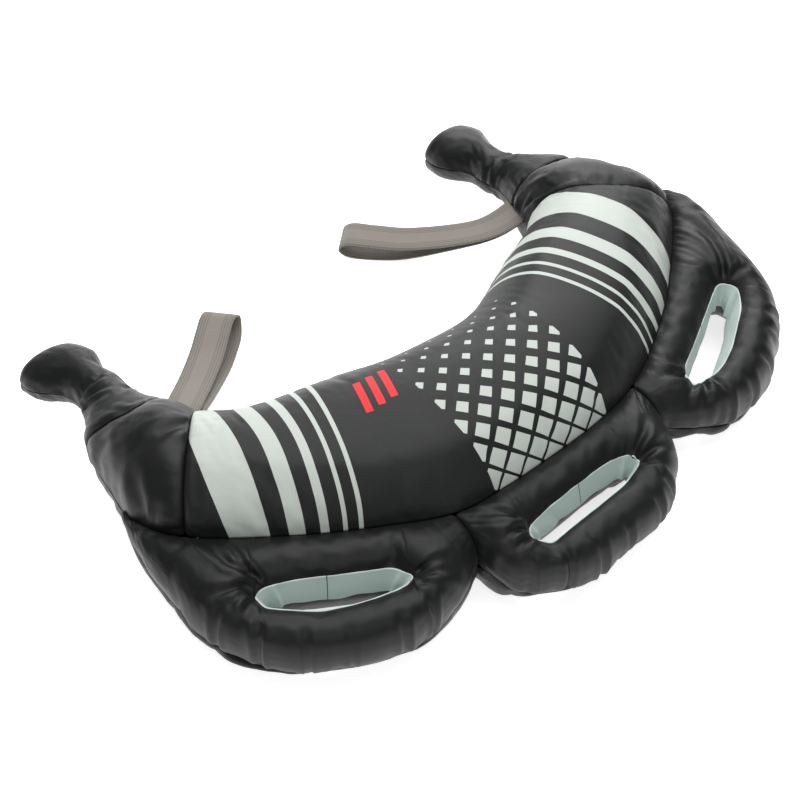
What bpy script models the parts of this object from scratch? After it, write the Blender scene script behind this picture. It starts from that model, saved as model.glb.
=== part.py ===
# A crescent training bag lying flat on the floor, its two grips towards +Y.
# Metres, +Z up. The origin is on the floor under the middle of the bag.
import math

import bmesh
import bpy
import numpy as np
from mathutils import Matrix, Vector

# Outside sizes of the whole bag
HALF_SPAN = 0.299  # middle plane to the outermost edge of a side lobe
BAG_DEPTH = 0.456  # edge of the middle lobe to the ends of the grips
BODY_HEIGHT = 0.115  # floor to the crown of the body

# Cloth, seams and the room between pieces
CLOTH = 0.0015
HALF_SEAM = 0.00045  # what each cover keeps back from the line of a seam
CLEARANCE = 0.0003
FILL_DEPTH = CLOTH + 3 * CLEARANCE  # how far the fill lies behind the outer face of its cover

# Grips
GRIP_LENGTH = 0.115
GRIP_ROOT_WIDTH = 0.076
GRIP_NECK_WIDTH = 0.042
GRIP_END_WIDTH = 0.062
GRIP_ROOT_HEIGHT = 0.066
GRIP_NECK_HEIGHT = 0.042
GRIP_END_HEIGHT = 0.048
GRIP_DROOP = 0.017  # how far a grip's end hangs below its root
LEFT_GRIP_SPLAY = 0.020  # how far the left grip's end lies outwards
GRIP_BEND_POWER = 1.5

# Hand slots through the lobes, and the cloth tube that lines each one
SLOT_LENGTH = 0.124
SLOT_WIDTH = 0.034
SLOT_TOP = 0.060
SLOT_BOTTOM = 0.022
SLOT_DIP_REACH = 0.020  # how far from a slot its edge pulls the lobe in
EDGE_FREE_SHARE = 0.25  # part of a lobe's section, next to its edge, where that pull fades out
SIDE_SLOT_ANGLE = math.radians(32.5)
LINING = 0.0012
LIP_WIDTH = 0.0015
LIP_ROOM = 0.0012

# Fill
LOBE_REST = 0.002  # how far the undersides of the lobes stay off the floor
WADDING = 0.010
WADDING_END_ROOM = 0.005  # how far the wadding stops short of the seams
POUCH_END_HEIGHT = 0.012  # a sand pouch is sewn flat at both ends
POUCH_END_WIDTH_SHARE = 0.85
POUCH_FULLNESS_POWER = 0.5
SHARPEST_WEDGE = 0.15  # below this a solid's corner is taken as flat when its faces move in

# Webbing loops
WEBBING_WIDTH = 0.030
WEBBING = 0.0016
LOOP_LENGTH = 0.162
LOOP_OPENING = 0.016
LOOP_FLOOR_ROOM = 0.0006
LOOP_LEAN = math.radians(48.5)  # plan angle of a loop, from the other grip towards +Y

# Facets
BODY_ROWS = 7
LOBE_ROWS = 3
SLOT_COLUMNS = 6
LOBE_END_COLUMNS = 2
SHOULDER_COLUMNS = (2, 4, 3)  # slot to panel seam, on to the lobe's end, on to the grip
LOOP_POINTS = 44
CURVE_STEPS = 12
HALVINGS = 40
PLACE_TOLERANCE = 1e-6
JOIN_DISTANCE = 0.000003

# A rounded square between a circle and a box, for every stuffed section
PUFF_POWER = 2.25
SLOT_POWER = 4

# Ribs of the right half: inner edge x and y, outer seam x and y, then the heights of the inner
# seam, the upper and lower outer seams, the crown, the unpressed underside and the pressed underside.
# x follows HALF_SPAN, y follows BAG_DEPTH and z follows BODY_HEIGHT.
RIB_SHARES = (
    (0.000, 0.053, 0.000, -0.309, 0.452, 0.626, 0.174, 1.000, -0.190, 0.000),
    (0.167, 0.061, 0.174, -0.305, 0.452, 0.626, 0.174, 0.998, -0.190, 0.000),
    (0.313, 0.081, 0.341, -0.287, 0.452, 0.626, 0.174, 0.992, -0.190, 0.000),
    (0.434, 0.106, 0.508, -0.230, 0.452, 0.626, 0.174, 0.985, -0.175, 0.000),
    (0.531, 0.134, 0.707, -0.140, 0.452, 0.617, 0.183, 0.974, -0.140, 0.000),
    (0.599, 0.168, 0.915, -0.012, 0.452, 0.578, 0.235, 0.950, -0.087, 0.017),
    (0.622, 0.206, 0.964, 0.105, 0.452, 0.490, 0.422, 0.915, 0.017, 0.035),
)
LOBE_SEAM, PANEL_END, LOBE_END, GRIP_ROOT = 2, 5, 6, 7
GRIP_LEVEL_SHARE = 0.461
GRIP_ROOT_X_SHARE = 0.766
GRIP_NECK_X_SHARE = 0.720
GRIP_ALONG_SHARES = (0.00, 0.20, 0.40, 0.58, 0.78, 0.92, 0.98, 1.00)
GRIP_TIP_SHARES = (0.97, 0.84, 0.60)  # of the end's width and height, for the last three ribs

# Outer edge of the lobes at every half rib: x and y, then the heights of the edge, crown and underside
MIDDLE_EDGE_SHARES = (
    (0.000, -0.500, 0.374, 0.690, -0.030),
    (0.100, -0.498, 0.374, 0.690, -0.030),
    (0.192, -0.482, 0.374, 0.688, -0.030),
    (0.304, -0.427, 0.374, 0.670, -0.020),
    (0.361, -0.360, 0.374, 0.630, 0.170),
)
SIDE_EDGE_SHARES = (
    (0.361, -0.360, 0.374, 0.630, 0.170),
    (0.535, -0.410, 0.374, 0.680, -0.020),
    (0.674, -0.402, 0.374, 0.698, -0.030),
    (0.789, -0.362, 0.374, 0.706, -0.030),
    (0.880, -0.314, 0.374, 0.706, -0.030),
    (0.957, -0.248, 0.378, 0.696, -0.020),
    (1.000, -0.146, 0.391, 0.664, 0.060),
    (0.999, -0.020, 0.417, 0.610, 0.200),
    (0.972, 0.107, 0.452, 0.494, 0.418),
)
MIDDLE_SLOT_SHARE = (0.000, -0.404)
SIDE_SLOT_SHARE = (0.689, -0.274)
STRAP_ROOT = 6.5  # rib place of the middle of a loop's root
# Middle line of a webbing loop from its root: along LOOP_LENGTH, then the height between the floor
# and the root, then the part of LOOP_OPENING by which the upper ply lies above the lower
LOOP_PATH_SHARES = (
    (0.030, 0.975, 0.00),
    (0.160, 0.760, 0.14),
    (0.380, 0.400, 0.34),
    (0.630, 0.090, 0.75),
    (0.820, 0.000, 1.00),
    (0.950, 0.020, 0.92),
)
LOOP_TURN_SHARE = 0.30  # part of the loop over which it turns from the seam to its lean

LOBE_MIDDLE_SHARE = 0.5  # of a section, where the two strips of a lobe part at its ends
SEAM_STEP = 0.2

# Colour and roughness of each material
FINISHES = {
    "coated_cloth": ((0.022, 0.022, 0.023), 0.42),
    "lining_cloth": ((0.46, 0.53, 0.52), 0.55),
    "webbing": ((0.40, 0.36, 0.33), 0.8),
    "wadding": ((0.80, 0.79, 0.75), 0.9),
    "pouch_cloth": ((0.30, 0.31, 0.33), 0.7),
}


# Shared curves and sections
def smooth(rows, place):
    """A Catmull-Rom curve through rows, one row to a step of place."""
    index = max(0, min(int(place), len(rows) - 2))
    part = place - index
    start, end = rows[index], rows[index + 1]
    before = rows[index - 1] if index > 0 else 2 * start - end
    after = rows[index + 2] if index + 2 < len(rows) else 2 * end - start
    bend = 2 * before - 5 * start + 4 * end - after
    twist = 3 * start - before - 3 * end + after
    return start + 0.5 * part * (end - before + part * (bend + part * twist))


def grip_ribs():
    between_width = (GRIP_ROOT_WIDTH + 2 * GRIP_NECK_WIDTH) / 3
    between_height = (GRIP_ROOT_HEIGHT + 2 * GRIP_NECK_HEIGHT) / 3
    widths = [GRIP_ROOT_WIDTH, between_width, GRIP_NECK_WIDTH, GRIP_NECK_WIDTH, GRIP_END_WIDTH]
    heights = [GRIP_ROOT_HEIGHT, between_height, GRIP_NECK_HEIGHT, GRIP_NECK_HEIGHT, GRIP_END_HEIGHT]
    widths += [share * GRIP_END_WIDTH for share in GRIP_TIP_SHARES]
    heights += [share * GRIP_END_HEIGHT for share in GRIP_TIP_SHARES]
    level = GRIP_LEVEL_SHARE * BODY_HEIGHT
    ribs = []
    for along, width, height in zip(GRIP_ALONG_SHARES, widths, heights):
        turn = min(1, along / GRIP_ALONG_SHARES[2])
        x = HALF_SPAN * (GRIP_ROOT_X_SHARE + turn * (GRIP_NECK_X_SHARE - GRIP_ROOT_X_SHARE))
        y = BAG_DEPTH / 2 - (1 - along) * GRIP_LENGTH
        top, bottom = level + height / 2, level - height / 2
        ribs.append((x - width / 2, y, x + width / 2, y, level, level, level, top, bottom, LOBE_REST))
    return ribs


def half_ribs():
    plan = [HALF_SPAN, BAG_DEPTH, HALF_SPAN, BAG_DEPTH]
    ribs = [list(row) for row in np.array(RIB_SHARES) * (plan + 6 * [BODY_HEIGHT])] + grip_ribs()
    mirrored = [-ribs[1][0], ribs[1][1], -ribs[1][2], *ribs[1][3:]]
    return np.array([mirrored] + ribs)


def edge_ribs(shares):
    return np.array(shares) * ([HALF_SPAN, BAG_DEPTH] + 3 * [BODY_HEIGHT])


RIBS = half_ribs()
MIDDLE_EDGES = edge_ribs(MIDDLE_EDGE_SHARES)
SIDE_EDGES = edge_ribs(SIDE_EDGE_SHARES)
TIP = len(RIBS) - 2


def rib_at(place):
    """The rib at a place along the crescent; negative places are the left half."""
    rib = smooth(RIBS, abs(place) + 1)
    if place < 0:
        rib = rib * ([-1, 1, -1] + 7 * [1])
    return rib


def middle_edge(place):
    mirrored = MIDDLE_EDGES[1] * [-1, 1, 1, 1, 1]
    row = smooth(np.vstack([mirrored, MIDDLE_EDGES]), 2 * abs(place) + 1)
    return row * [math.copysign(1, place), 1, 1, 1, 1]


def side_edge(place):
    return smooth(SIDE_EDGES, 2 * (place - LOBE_SEAM))


def seam_reach(level, end, peak):
    """Where a stuffed section of half width 1 has fallen from its peak to its end height."""
    fall = min(1, abs(end - level) / abs(peak - level))
    return (1 - fall**PUFF_POWER) ** (1 / PUFF_POWER)


def puff_height(across, level, peak):
    return level + (peak - level) * np.maximum(0, 1 - abs(across) ** PUFF_POWER) ** (1 / PUFF_POWER)


def body_section(place, upper):
    """Points from the inner seam, where the cloth stands upright, over the crown to the outer seam."""
    rib = rib_at(place)
    inner, outer = rib[0:2], rib[2:4]
    level, end, peak = (rib[4], rib[5], rib[7]) if upper else (rib[4], rib[6], rib[8])
    reach = seam_reach(level, end, peak)
    turn = math.pi - math.asin((1 - reach**PUFF_POWER) ** 0.5)
    cosines = np.cos(np.linspace(0, turn, BODY_ROWS + 1))
    across = -np.sign(cosines) * abs(cosines) ** (2 / PUFF_POWER)
    part = (across + 1) / (across[-1] + 1)
    height = puff_height(across, level, peak)
    if not upper:
        height = np.maximum(height, max(0, rib[9]))
    return np.column_stack([inner + part[:, None] * (outer - inner), height])


def steps(start, end, count):
    """Even steps from start to end, without the start itself."""
    return list(np.linspace(start, end, count + 1)[1:])


# Lobes: a section runs from the outer edge, where the cloth stands upright, to the outer seam
class Lobe:
    def __init__(self, edge, centre_share, angle, first, last):
        self.edge, self.first, self.last = edge, first, last
        self.centre = np.array(centre_share) * [HALF_SPAN, BAG_DEPTH]
        self.along = np.array([math.cos(angle), math.sin(angle)])
        self.out = np.array([self.along[1], -self.along[0]])

    def ends(self, place):
        return self.edge(place)[:2], rib_at(place)[2:4]

    def place_through(self, point):
        """The rib place whose section passes through a point, by halving."""
        low, high = self.first, self.last
        for _ in range(HALVINGS):
            middle = (low + high) / 2
            edge, seam = self.ends(middle)
            run, reach = seam - edge, point - edge
            ahead = run[0] * reach[1] - run[1] * reach[0]
            low, high = (low, middle) if ahead > 0 else (middle, high)
        return (low + high) / 2

    def slot_places(self, room=0):
        half = SLOT_LENGTH / 2 + room
        return [self.place_through(self.centre + sign * half * self.along) for sign in (-1, 1)]

    def slot_measure(self, point, room=0):
        """Under 1 inside the slot, 1 on its edge and more outside."""
        offset = point - self.centre
        along = abs(offset @ self.along) / (SLOT_LENGTH / 2 + room)
        across = abs(offset @ self.out) / (SLOT_WIDTH / 2 + room)
        return along**SLOT_POWER + across**2

    def slot_gap(self, points):
        """How far points lie from the slot's edge."""
        offset = points - self.centre
        straight = (SLOT_LENGTH - SLOT_WIDTH) / 2
        over = np.maximum(0, abs(offset @ self.along) - straight)
        return np.maximum(0, np.hypot(over, offset @ self.out) - SLOT_WIDTH / 2)

    def axis_part(self, place):
        """The part of the section, from the edge, at which it crosses the slot's long axis."""
        edge, seam = self.ends(place)
        return float((self.centre - edge) @ self.out / ((seam - edge) @ self.out))

    def slot_parts(self, place, room=0):
        """The parts of the section at which it crosses the slot's edge, the outer one first."""
        edge, seam = self.ends(place)
        found = []
        for stop in (0.0, 1.0):
            inside, outside = self.axis_part(place), stop
            for _ in range(HALVINGS):
                middle = (inside + outside) / 2
                clear = self.slot_measure(edge + middle * (seam - edge), room) > 1
                inside, outside = (inside, middle) if clear else (middle, outside)
            found.append(outside)
        return found

    def split_parts(self, place, room=0):
        """Where the section parts in two, on the slot's edge or beyond its ends."""
        start, end = self.slot_places(room)
        if start + PLACE_TOLERANCE < place < end - PLACE_TOLERANCE:
            return self.slot_parts(place, room)
        tip, stop = (start, self.first) if place <= start + PLACE_TOLERANCE else (end, self.last)
        beyond = (place - tip) / (stop - tip)
        part = self.axis_part(tip) + beyond * (LOBE_MIDDLE_SHARE - self.axis_part(tip))
        return [part, part]

    def section(self, place, upper, parts):
        edge, seam = self.ends(place)
        _, _, level, crown, underside = self.edge(place)
        end = rib_at(place)[5 if upper else 6]
        peak = crown if upper else underside
        reach = seam_reach(level, end, peak)
        plan = edge + np.array(parts)[:, None] * (seam - edge)
        height = puff_height(np.array(parts) * (reach + 1) - 1, level, peak)
        rim = SLOT_TOP if upper else SLOT_BOTTOM
        pull = np.maximum(0, 1 - (self.slot_gap(plan) / SLOT_DIP_REACH) ** 2) ** 2
        pull = pull * np.minimum(1, np.array(parts) / EDGE_FREE_SHARE)
        height = height + (rim - height) * pull
        if not upper:
            height = np.maximum(height, LOBE_REST)
        return np.column_stack([plan, height])

    def columns(self, room=0):
        start, end = self.slot_places(room)
        first, last = self.first, self.last
        turn = np.cos(np.linspace(math.pi, 0, SLOT_COLUMNS + 1))
        slot = list(start + (end - start) * (turn + 1) / 2)
        before = steps(start, first, LOBE_END_COLUMNS)[::-1]
        if last > PANEL_END:
            to_seam, to_end, _ = SHOULDER_COLUMNS
            after = steps(end, PANEL_END, to_seam) + steps(PANEL_END, last, to_end)
        else:
            after = steps(end, last, LOBE_END_COLUMNS)
        return before + slot + after

    def strips(self, upper, places, room):
        """Two grids of points, one on each side of the slot's long axis."""
        outer, inner = [], []
        ease = 1 - np.cos(np.linspace(0, math.pi / 2, LOBE_ROWS + 1))
        for place in places:
            low, high = self.split_parts(place, room)
            outer.append(self.section(place, upper, low * ease))
            inner.append(self.section(place, upper, np.linspace(high, 1, LOBE_ROWS + 1)))
        return np.array(outer), np.array(inner)

    def slot_loop(self):
        """The slot's edge in plan, as the covers meet it: outer side out, inner side back."""
        start, end = self.slot_places()
        low, high = start - PLACE_TOLERANCE, end + PLACE_TOLERANCE
        places = [place for place in self.columns() if low < place < high]
        outer, inner = [], []
        for place in places:
            edge, seam = self.ends(place)
            low, high = self.split_parts(place)
            outer.append(edge + low * (seam - edge))
            inner.append(edge + high * (seam - edge))
        return np.array(outer + inner[-2:0:-1])


MIDDLE_LOBE = Lobe(middle_edge, MIDDLE_SLOT_SHARE, 0.0, -LOBE_SEAM, LOBE_SEAM)
SIDE_LOBE = Lobe(side_edge, SIDE_SLOT_SHARE, SIDE_SLOT_ANGLE, LOBE_SEAM, LOBE_END)


def lie(grid, flipped):
    """The grid of a right-hand piece as it lies: on its own side, with the grips drooping."""
    grid = grid * [-1 if flipped else 1, 1, 1]
    root = BAG_DEPTH / 2 - GRIP_LENGTH
    bend = (np.maximum(0, grid[..., 1] - root) / GRIP_LENGTH) ** GRIP_BEND_POWER
    grid[..., 0] -= (LEFT_GRIP_SPLAY if flipped else 0) * bend
    grid[..., 2] -= GRIP_DROOP * bend
    return grid


# Making objects
def material(name):
    made = bpy.data.materials.get(name) or bpy.data.materials.new(name)
    made.use_nodes = True
    colour, roughness = FINISHES[name]
    shader = made.node_tree.nodes["Principled BSDF"]
    shader.inputs["Base Color"].default_value = (*colour, 1)
    shader.inputs["Roughness"].default_value = roughness
    shader.inputs["Metallic"].default_value = 0
    return made


def mesh_of(grids):
    """One mesh of all the grids, joined where their points meet."""
    mesh = bmesh.new()
    for grid in grids:
        points = [[mesh.verts.new(point) for point in row] for row in grid]
        for row, following in zip(points, points[1:]):
            for corner in range(len(row) - 1):
                across = (row[corner], following[corner + 1])
                mesh.faces.new((across[0], row[corner + 1], across[1]))
                mesh.faces.new((across[0], across[1], following[corner]))
    bmesh.ops.remove_doubles(mesh, verts=mesh.verts, dist=JOIN_DISTANCE)
    return mesh


def add_object(name, mesh, finish):
    data = bpy.data.meshes.new(name)
    mesh.to_mesh(data)
    mesh.free()
    data.materials.append(finish)
    data.shade_smooth()
    made = bpy.data.objects.new(name, data)
    bpy.data.collections["bulgarian_bag"].objects.link(made)
    return made


def kept_back(grid, sides, distance=HALF_SEAM):
    """A grid with its named border lines moved in from their seams."""
    grid = grid.copy()
    lines = {"first": (0, 1, 0), "last": (-1, -2, 0), "low": (0, 1, 1), "high": (-1, -2, 1)}
    for side in sides:
        border, inside, axis = lines[side]
        view = grid if axis == 0 else grid.transpose(1, 0, 2)
        step = view[inside] - view[border]
        view[border] += step * distance / np.linalg.norm(step, axis=1)[:, None]
    return grid


def moved_in(mesh, distance):
    """Moves every face of a mesh inwards by a distance."""
    mesh.normal_update()
    moves = []
    for corner in mesh.verts:
        normals = np.array([face.normal for face in corner.link_faces])
        wanted = np.full(len(normals), -distance)
        moves.append(np.linalg.lstsq(normals, wanted, rcond=SHARPEST_WEDGE)[0])
    for corner, move in zip(mesh.verts, moves):
        corner.co += Vector(move)


def cover(name, grids, upper, flipped=False):
    """A cloth cover: the grids as one open sheet, thickened inwards. flipped makes the left one."""
    return thickened(name, grids, upper, flipped, 0, CLOTH, "coated_cloth")


def thickened(name, grids, upper, flipped, depth, thickness, substance):
    mesh = mesh_of([lie(grid, flipped) for grid in grids])
    bmesh.ops.recalc_face_normals(mesh, faces=mesh.faces)
    mesh.normal_update()
    tilt = sum(face.normal.z * face.calc_area() for face in mesh.faces)
    if (tilt > 0) != upper:
        bmesh.ops.reverse_faces(mesh, faces=mesh.faces)
    moved_in(mesh, depth)
    made = add_object(name, mesh, material(substance))
    layer = made.modifiers.new("layer", "SOLIDIFY")
    layer.thickness = thickness
    layer.offset = -1
    return made


def filled(name, grids, substance, flipped=False, depth=0):
    """A closed solid of grids that meet along their borders, its faces moved in by depth."""
    mesh = mesh_of([lie(grid, flipped) for grid in grids])
    bmesh.ops.recalc_face_normals(mesh, faces=mesh.faces)
    moved_in(mesh, depth)
    return add_object(name, mesh, material(substance))


def side_name(piece, flipped, tail=""):
    return piece + ("_left" if flipped else "_right") + tail


# Covers
def body_grid(places, upper):
    return np.array([body_section(place, upper) for place in places])


def panel_places():
    side = [place for place in SIDE_LOBE.columns() if place <= PANEL_END + PLACE_TOLERANCE]
    return [-place for place in side[::-1]] + MIDDLE_LOBE.columns()[1:-1] + side


def body_panels():
    for name, upper in (("top_panel", True), ("bottom_panel", False)):
        grid = body_grid(panel_places(), upper)
        cover(name, [kept_back(grid, ("first", "last", "low", "high"))], upper)


def shoulder_places():
    beside_lobe = [place for place in SIDE_LOBE.columns() if place >= PANEL_END - PLACE_TOLERANCE]
    return beside_lobe + steps(LOBE_END, GRIP_ROOT, SHOULDER_COLUMNS[-1])


def shoulder_covers(flipped):
    for tail, upper in (("_top", True), ("_bottom", False)):
        grid = body_grid(shoulder_places(), upper)
        grid = kept_back(grid, ("first", "last", "low", "high"))
        cover(side_name("shoulder", flipped, tail), [grid], upper, flipped)


def grip_grid(upper, room=0):
    """A grip from its root to its end, which closes onto its edge seam but for the room left there."""
    places = [GRIP_ROOT, (GRIP_ROOT + GRIP_ROOT + 1) / 2, *range(GRIP_ROOT + 1, TIP + 1)]
    grid = body_grid(places, upper)
    closing = grid[-1].copy()
    closing[:, 2] = GRIP_LEVEL_SHARE * BODY_HEIGHT + (room if upper else -room)
    return np.concatenate([grid, closing[None]])


def grip_covers(flipped):
    for tail, upper in (("_top", True), ("_bottom", False)):
        grid = kept_back(grip_grid(upper, HALF_SEAM), ("first", "low", "high"))
        cover(side_name("grip", flipped, tail), [grid], upper, flipped)


def lobe_covers(lobe, name, flipped=False):
    for tail, upper in (("_top", True), ("_bottom", False)):
        outer, inner = lobe.strips(upper, lobe.columns(), room=CLEARANCE)
        outer = kept_back(outer, ("first", "last", "low"))
        inner = kept_back(inner, ("first", "last", "high"))
        cover(name + tail, [outer, inner], upper, flipped)


# Slot linings
def offset_loop(loop, distance):
    """A closed plan loop moved outwards, its corners mitred."""
    runs = np.roll(loop, -1, axis=0) - loop
    runs = runs / np.linalg.norm(runs, axis=1)[:, None]
    normals = np.column_stack([runs[:, 1], -runs[:, 0]])
    x, y = loop.T
    if np.sum(x * np.roll(y, -1) - y * np.roll(x, -1)) < 0:
        normals = -normals
    mitre = normals + np.roll(normals, 1, axis=0)
    mitre = mitre / np.sum(mitre * normals, axis=1)[:, None]
    return loop + distance * mitre


def slot_lining(lobe, name, flipped=False):
    """A tube of lining cloth with a lip turned over the lobe at each end."""
    wall, lip = LINING, LIP_WIDTH
    high, low = SLOT_TOP + LIP_ROOM, SLOT_BOTTOM - LIP_ROOM
    profile = (
        (-wall, high + LINING),
        (lip, high + LINING),
        (lip, high),
        (0, high),
        (0, low),
        (lip, low),
        (lip, low - LINING),
        (-wall, low - LINING),
        (-wall, high + LINING),
    )
    rings = []
    for distance, height in profile:
        ring = offset_loop(lobe.slot_loop(), distance - CLEARANCE)
        ring = np.vstack([ring, ring[:1]])
        rings.append(np.column_stack([ring, np.full(len(ring), height)]))
    return filled(name, [np.array(rings)], "lining_cloth", flipped)


# Fill behind the covers
def with_walls(top, bottom):
    """Two sheets that meet along the inner seam, with the walls that close them into a solid."""
    ends = [np.array([top[end], bottom[end]]) for end in (0, -1)]
    return [top, bottom, np.array([top[:, -1], bottom[:, -1]]), *ends]


def wadding_layer(name, upper):
    """A blanket of wadding that lies against the inside of a body panel."""
    grid = body_grid(panel_places(), upper)
    grid = kept_back(grid, ("first", "last", "low", "high"), WADDING_END_ROOM)
    thickened(name, [grid], upper, False, FILL_DEPTH, WADDING, "wadding")


def sand_pouch(name, first, last, flipped=False):
    """A sewn pouch of sand, full in the middle and flat at both ends."""
    places = [place for place in panel_places() if first <= place <= last]
    depth = FILL_DEPTH + WADDING + 2 * CLEARANCE
    fullness = np.sin(np.linspace(0, math.pi, len(places))) ** POUCH_FULLNESS_POWER
    top, bottom = body_grid(places, True), body_grid(places, False)
    middle = (top[:, [0]] + top[:, [-1]]) / 2
    width = POUCH_END_WIDTH_SHARE + fullness * (1 - POUCH_END_WIDTH_SHARE)
    peak = top[..., 2].max(axis=1)
    end_height = POUCH_END_HEIGHT + 2 * depth
    height = (end_height + fullness * (peak - end_height)) / peak
    base = bottom[..., 2].min(axis=1)[:, None]
    for sheet in (top, bottom):
        sheet[..., :2] = middle[..., :2] + (sheet - middle)[..., :2] * width[:, None, None]
        sheet[..., 2] = base + (sheet[..., 2] - base) * height[:, None]
    filled(name, with_walls(top, bottom), "pouch_cloth", flipped, depth)


def shoulder_fill(flipped):
    places = shoulder_places()
    grids = with_walls(body_grid(places, True), body_grid(places, False))
    filled(side_name("shoulder_padding", flipped), grids, "wadding", flipped, FILL_DEPTH)


def grip_fill(flipped):
    top, bottom = grip_grid(True), grip_grid(False)
    root = np.array([top[0], bottom[0]])
    side = np.array([top[:, -1], bottom[:, -1]])
    filled(side_name("grip_padding", flipped), [top, bottom, root, side], "wadding", flipped, FILL_DEPTH)


def lobe_fill(lobe, name, flipped=False):
    """A padded ring round the slot. It stops before the thin tail of a side lobe."""
    places = lobe.columns(CLEARANCE)
    if lobe.last > PANEL_END:
        places = places[:-1]
    upper, lower = (lobe.strips(side, places, CLEARANCE) for side in (True, False))
    walls = [np.array([high[:, row], low[:, row]]) for high, low in zip(upper, lower) for row in (0, -1)]
    ends = [np.array([high[end], low[end]]) for high, low in zip(upper, lower) for end in (0, -1)]
    low, high = lobe.slot_places(CLEARANCE)
    inside = [low - PLACE_TOLERANCE < place < high + PLACE_TOLERANCE for place in places]
    round_slot = slice(inside.index(True), len(places) - inside[::-1].index(True))
    slot_walls = [wall[:, round_slot] for wall in walls[1:3]]
    grids = [*upper, *lower, *slot_walls, walls[3], *ends]
    filled(name, grids, "wadding", flipped, FILL_DEPTH + CLEARANCE)


# Webbing loops
def strap_frame():
    """Root point and seam direction of the right loop."""
    ahead, behind = (rib_at(STRAP_ROOT + sign * SEAM_STEP) for sign in (1, -1))
    seam = ahead[0:2] - behind[0:2]
    seam = seam / np.linalg.norm(seam)
    away = np.array([-seam[1], seam[0]])
    rib = rib_at(STRAP_ROOT)
    root = rib[0:2] + away * (WEBBING / 2 + 2 * CLEARANCE)
    return np.array([*root, rib[4]]), seam, away


def loop_profile():
    """The loop's middle line, closed, as lengths along it and heights."""
    root_height = strap_frame()[0][2]
    floor = WEBBING / 2 + LOOP_FLOOR_ROOM
    rows = np.array(LOOP_PATH_SHARES)
    along = rows[:, 0] * (LOOP_LENGTH - WEBBING / 2)
    lower = floor + rows[:, 1] * (root_height - floor)
    ply_gap = (WEBBING + CLEARANCE) / 2
    half_lens = ply_gap + rows[:, 2] * LOOP_OPENING / 2
    lower = lower - ply_gap * rows[:, 1]
    upper = lower + 2 * half_lens
    end = [LOOP_LENGTH, (lower[-1] + upper[-1]) / 2]
    root = [0, root_height]
    under = np.column_stack([along, lower])
    over = np.column_stack([along, upper])[::-1]
    return np.vstack([root, under, end, over])


def closed_curve(points, count):
    """A closed smooth curve through points, read evenly along its length."""
    around = np.vstack([points[-1], points, points[:3]])
    places = np.linspace(0, len(points), CURVE_STEPS * len(points) + 1)
    fine = np.array([smooth(around, 1 + place) for place in places])
    lengths = np.concatenate([[0], np.cumsum(np.linalg.norm(np.diff(fine, axis=0), axis=1))])
    wanted = np.linspace(0, lengths[-1], count + 1)
    return np.column_stack([np.interp(wanted, lengths, fine[:, axis]) for axis in (0, 1)])


def loop_point(along, height, sideways):
    """A point of a right-hand loop in space, sideways across the webbing, which turns from square
    to the seam to its plan angle over the first part of its length."""
    root, seam, away = strap_frame()
    lean = np.array([-math.cos(LOOP_LEAN), math.sin(LOOP_LEAN)])
    turn_length = LOOP_TURN_SHARE * LOOP_LENGTH
    turn = max(0, min(1, along / turn_length))
    leaning = turn_length * turn**3 * (1 - turn / 2) + max(0, along - turn_length)
    ease = turn * turn * (3 - 2 * turn)
    across = seam + ease * (np.array([lean[1], -lean[0]]) - seam)
    across = across / np.linalg.norm(across)
    plan = root[:2] + away * (along - leaning) + lean * leaning + sideways * across
    return np.array([*plan, height])


def webbing_loop(flipped):
    curve = closed_curve(loop_profile(), LOOP_POINTS)[:-1]
    ahead, behind = np.roll(curve, -1, axis=0), np.roll(curve, 1, axis=0)
    tangent = ahead - behind
    tangent = tangent / np.linalg.norm(tangent, axis=1)[:, None]
    normal = np.column_stack([-tangent[:, 1], tangent[:, 0]]) * WEBBING / 2
    half = WEBBING_WIDTH / 2
    corners = ((normal, half), (normal, -half), (-normal, -half), (-normal, half), (normal, half))
    rings = []
    for shift, sideways in corners:
        ring = [loop_point(along, height, sideways) for along, height in curve + shift]
        rings.append(ring + ring[:1])
    name = side_name("strap", flipped)
    mesh = mesh_of([np.array(rings) * [-1 if flipped else 1, 1, 1]])
    bmesh.ops.recalc_face_normals(mesh, faces=mesh.faces)
    made = add_object(name, mesh, material("webbing"))
    hinge = bpy.data.objects.new(name + "_hinge", None)
    bpy.data.collections["bulgarian_bag"].objects.link(hinge)
    root, seam, _ = strap_frame()
    root = root * [-1 if flipped else 1, 1, 1]
    hinge.location = root
    made.data.transform(Matrix.Translation(-Vector(root)))
    made.parent = hinge
    print(name, "hinge", np.round(root, 5), "seam", np.round(seam, 4))


def build():
    for old in list(bpy.data.objects):
        bpy.data.objects.remove(old)
    bpy.context.scene.collection.children.link(bpy.data.collections.new("bulgarian_bag"))
    body_panels()
    wadding_layer("wadding_top", True)
    wadding_layer("wadding_bottom", False)
    sand_pouch("sand_pouch_middle", -LOBE_SEAM, LOBE_SEAM)
    lobe_covers(MIDDLE_LOBE, "lobe_middle")
    slot_lining(MIDDLE_LOBE, "slot_lining_middle")
    lobe_fill(MIDDLE_LOBE, "lobe_padding_middle")
    for flipped in (True, False):
        shoulder_covers(flipped)
        grip_covers(flipped)
        lobe_covers(SIDE_LOBE, side_name("lobe", flipped), flipped)
        slot_lining(SIDE_LOBE, side_name("slot_lining", flipped), flipped)
        lobe_fill(SIDE_LOBE, side_name("lobe_padding", flipped), flipped)
        shoulder_fill(flipped)
        grip_fill(flipped)
        sand_pouch(side_name("sand_pouch", flipped), LOBE_SEAM, PANEL_END, flipped)
        webbing_loop(flipped)


build()
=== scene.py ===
import math

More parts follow.
